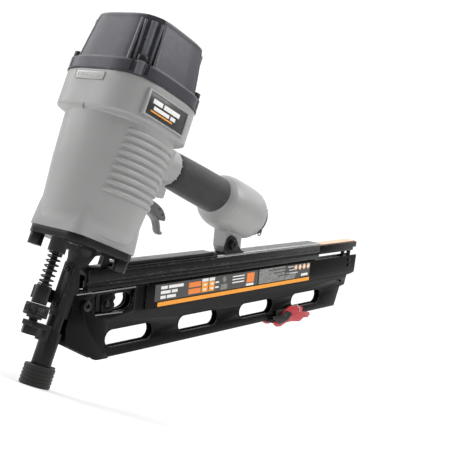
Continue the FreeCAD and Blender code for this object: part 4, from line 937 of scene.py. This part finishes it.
def print_label(side, layers):
    """One side's plain graphics, added to the shapes of each ink."""
    def printed(ink_name, outline, layer):
        spread = [(144.2 + (x - 137) * 1.012, 55.0 + (z - 57.3)) for x, z in outline]
        outer = side * (PANEL_Y + 0.09 * layer)
        layers[ink_name].append(leaned(slab(spread, *sorted((side * 6.6, outer)))))

    def patch(ink_name, start, end, low, high, layer=2, skew=0.0):
        printed(ink_name, [(start, low), (end, low), (end + skew, high), (start + skew, high)], layer)

    def dot(ink_name, x, radius, layer=2, z=76.4):
        printed(ink_name, slot_outline(x, x, z, radius, 8), layer)

    patch("orange", 141.5, 421.5, 57.4, 61.8, 1.3)
    for start, end in ((136.5, 262), (262, 311), (366, 421)):
        patch("grey", start, end, 63.0, 80.4, 1)
    patch("speckle", 313, 366, 63.0, 80.4, 1.2)
    patch("speckle", 366, 388, 63.0, 71.5, 1.2, 3)
    for row, lengths in enumerate(((11, 24), (16, 10), (9, 15))):
        x = 145.0
        for length in lengths:
            patch("white", x, x + length - 1.2, 75.0 - 5.0 * row, 78.2 - 5.0 * row)
            x += length + 0.6
    patch("amber", 188, 208, 72.2, 77.6)
    patch("amber", 188, 208, 65.0, 70.6)
    for start, end in ((209.5, 220), (221.5, 231)):
        patch("white", start, end, 76.2, 79.6)
        patch("orange", start, end, 64.8, 75.8)
    for x in (212.5, 224.5):
        patch("white", x, x + 4.4, 71.6, 74.0, 3)
        patch("white", x, x + 4.4, 66.6, 69.0, 3)
    patch("white", 232.5, 238.5, 72.6, 74.4)
    patch("white", 232.5, 238.5, 67.0, 69.0)
    patch("speckle", 242, 254, 64.2, 70.4)
    dot("speckle", 248, 3.2, z=75.4)
    for row in range(3):
        patch("white", 262, 284, 76.2 - 3.4 * row, 77.5 - 3.4 * row, skew=1.2)
    patch("amber", 289, 303, 67.6, 78.6, skew=0.5)
    patch("white", 289, 303, 63.8, 66.4)
    for row in range(3):
        patch("black", 332 + 9 * row, 368 + 7 * row, 77.2 - 4.2 * row, 78.3 - 4.2 * row, 2.2, 1)
        patch("white", 372 + 2 * row, 384 + 5 * row, 77.8 - 4.0 * row, 78.6 - 4.0 * row)
    for index in range(4):
        dot("tan", 389 + 9.2 * index, 3.3)
        dot("white", 389 + 9.2 * index, 1.3, 3)
    patch("white", 402, 417, 64.6, 67.6)


def make_label():
    """A plain graphic panel on each side of the magazine: bars, blocks and dots with no wording."""
    inks = {"grey": INK_GREY, "white": INK_WHITE, "orange": INK_ORANGE, "amber": INK_AMBER,
            "speckle": INK_SPECKLE, "tan": INK_TAN, "black": BADGE_BLACK}
    layers = {ink_name: [] for ink_name in inks}
    for side in SIDES:
        print_label(side, layers)
    made = [fixed("label_" + ink_name, layers[ink_name], material)
            for ink_name, material in inks.items()]
    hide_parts("magazine_labels")


def rail_strips(start, outer, inner, heights):
    """Strips along both sides of the rail, between two places in Y and at pairs of heights."""
    return [leaned(box((start, RAIL_END), tuple(sorted((side * outer, side * inner))), pair))
            for side in SIDES for pair in heights]


def make_rail_edges():
    """The rail's side ribs, and bright strips along its top edges that are painted highlights."""
    # Painted highlights along the rail's top edges.
    bright = rail_strips(236.0, 10.4, 9.2, ((101.0, 102.15), (99.7, 100.3)))
    fixed("rail_painted_highlights", bright, RAIL_HIGHLIGHT_PAINT, 0.2)
    ribs = rail_strips(86, 9.8, 10.5, ((91.5, 91.5 + 1.1), (98.6, 98.6 + 1.1)))
    fixed("rail_side_ribs", ribs, RAIL_BLACK, 0.25)


def make_pusher_wire():
    """The bent wire at the pusher lever's side."""
    path = spline([(405.5, -9.5, 27.8), (410.2, -9.5, 23.9), (413.6, -9.5, 21.2), (414.8, -9.5, 17.0)], 4)
    dressed(piece("pusher_wire", leaned(tube(path, 0.55, 8))), SPRING_STEEL, "pusher_lever")


# ---------------------------------------------------------------- build everything

make_housing()
make_handle_root()
make_ribs()
make_bulge_marks()
make_badges()
make_front_plate()
make_cap()
make_cap_recesses()
make_grip()
make_trigger()
make_trigger_finger()
make_coil("contact_spring", 8, 5.9, 0.7, DARK_SPRING)
make_coil("head_valve_spring", 4, 26, 1.0, SPRING_STEEL)
make_coil("trigger_valve_spring", 4, 3.6, 0.35, SPRING_STEEL)
make_wheel()
make_foot()
make_nose_fillets()
make_magazine()
make_label()
make_rail_edges()
make_pusher_wire()

REFINED = [
    (NOSE_BLACK, "housing", "nose_black", {"nose_body": 0.7, "driver_guide_plate": 0.5}),
    (FASTENER, "housing", "black_fastener", {
        "guide_plate_screws": 0.4, "nose_screws": 0.6, "cap_screws": 0.5, "end_cap_screws": 0.4,
        "tail_screws": 0.35, "magazine_front_screws": 0.6, "inspection_screw": 0.25, "bracket_nut": 0.4,
        "deflector_screw": 0.4}),
    (CAP_PAINT, "housing", "cap_grey", {"end_cap": 0.6}),
    (NOSE_BLACK, "contact_arm", "nose_black", {"contact_arm": 0.6}),
    (NOSE_BLACK, "contact_tip", "nose_black", {"contact_tip": 0.5, "adjuster_screw": 0.6}),
    (RAIL_BLACK, "housing", "rail_black", {"magazine_rail": 0.5, "rail_cover": 0.8, "rail_end_block": 0.6}),
    (TAN, "housing", "tan_strip", {"wear_strip": 0.4}),
    (BLACK_GLOSS, "housing", "magazine_black", {"magazine_tail_block": 0.5, "inspection_cover": 0.3}),
    (PUSHER_BLACK, "pusher", "pusher_black", {"pusher": 0.9, "pusher_caps": 0.5}),
    (LEVER_RED, "pusher_lever", "lever_red", {"pusher_lever": 0.7}),
    (FASTENER, "pusher", "black_fastener", {"pusher_pin": 0.4}),
    (NOSE_BLACK, "trip_lever", "nose_black", {"trip_lever": 0.3}),
    (CAP_PAINT, "exhaust_deflector", "deflector_grey", {"exhaust_deflector": 0.5}),
]
for material, body, slot, widths in REFINED:
    for node, width in widths.items():
        refined(node, material, body, width)
refined("rear_bracket", NOSE_BLACK, "housing", 0.6,
        cuts=[leaned(box((230, 300), (-10.05, 20), (104.7, 140))),
              leaned(box((230, 262), (-10.05, 20), (100, 105))),
              leaned(box((230, 246.4), (-20, -9), (100, 104.9)))])
refined("bracket_bolt", FASTENER, "housing", 0.5,
        cuts=[leaned(box((230, 290), (10.4, 30), (90, 140)))])

KEPT = {
    GASKET: ["cap_gasket"],
    ALLOY: ["cylinder_sleeve", "piston", "trigger_valve_stem"],
    SEAL_RUBBER: ["cylinder_seals", "piston_bumper", "piston_ring", "head_valve_seal", "end_cap_seal"],
    SPRING_STEEL: ["driver_blade", "trigger_spring", "feed_spring"],
    VALVE_PLASTIC: ["head_valve", "trigger_valve_body"],
    FASTENER: ["trigger_pin", "trip_lever_pin"],
}
for material, nodes in KEPT.items():
    for node in nodes:
        for holder in frame["nodes"][node].material_slots:
            holder.material = material


# ---------------------------------------------------------------- floor, light and camera

floor_mesh = bpy.data.meshes.new("floor")
floor_mesh.from_pydata([(-6, -6, 0), (6, -6, 0), (6, 6, 0), (-6, 6, 0)], [], [[0, 1, 2, 3]])
floor = placed("floor", floor_mesh)
floor_mesh.materials.append(finish("studio_floor", (0.93, 0.93, 0.93), 0.7, specular=0.2, grain=60, bump=0.02,
                                   vary=0.01, rough_vary=0.03, blotch=2))

world = bpy.data.worlds.new("studio")
bpy.context.scene.world = world
world.use_nodes = True
sky = world.node_tree
around = sky.nodes.new("ShaderNodeTexCoord")
facing = sky.nodes.new("ShaderNodeVectorMath")
facing.operation = "DOT_PRODUCT"
facing.inputs[1].default_value = (0.786, 0.602, 0)
glow = sky.nodes.new("ShaderNodeMapRange")
for socket, value in (("From Min", 0.05), ("From Max", 0.75), ("To Min", 0.16), ("To Max", 1.10)):
    glow.inputs[socket].default_value = value
sky.links.new(around.outputs["Generated"], facing.inputs[0])
sky.links.new(facing.outputs["Value"], glow.inputs["Value"])
sky.links.new(glow.outputs["Result"], sky.nodes["Background"].inputs["Strength"])
sky.nodes["Background"].inputs["Color"].default_value = (1, 1, 1, 1)
bpy.context.scene.view_settings.view_transform = "Standard"

centre = (cad_box[0] + cad_box[1]) / 2


def softbox(name, direction, distance, size, power):
    """A large square light that faces the middle of the tool."""
    light = bpy.data.lights.new(name, "AREA")
    light.shape = "SQUARE"
    light.size = size
    light.energy = power
    holder = placed(name, light)
    toward = Vector(direction).normalized()
    holder.location = centre + toward * distance
    holder.rotation_mode = "QUATERNION"
    holder.rotation_quaternion = toward.to_track_quat("Z", "Y")


softbox("key", (-0.62, 0.80, 0.50), 1.6, 1.1, 11)
softbox("fill", (0.50, -0.90, 1.05), 1.8, 1.0, 15)
sun = bpy.data.lights.new("overhead", "SUN")
sun.energy = 2.1
sun.angle = math.radians(120)
placed("overhead", sun)

camera_data = bpy.data.cameras.new("camera")
camera_data.sensor_width = 36
camera_data.lens = 70.6
camera_data.clip_start = 0.01
camera = placed("camera", camera_data)
right = Vector((0.5468, -0.7836, 0.2948))
upward = Vector((-0.2888, 0.1540, 0.9449))
forward = Vector((0.7859, 0.6019, 0.1422))
turn = Matrix((right, upward, -forward)).transposed().to_4x4()
camera.matrix_world = Matrix.Translation((-0.5654, -0.5841, 0.0737)) @ turn
bpy.context.scene.camera = camera
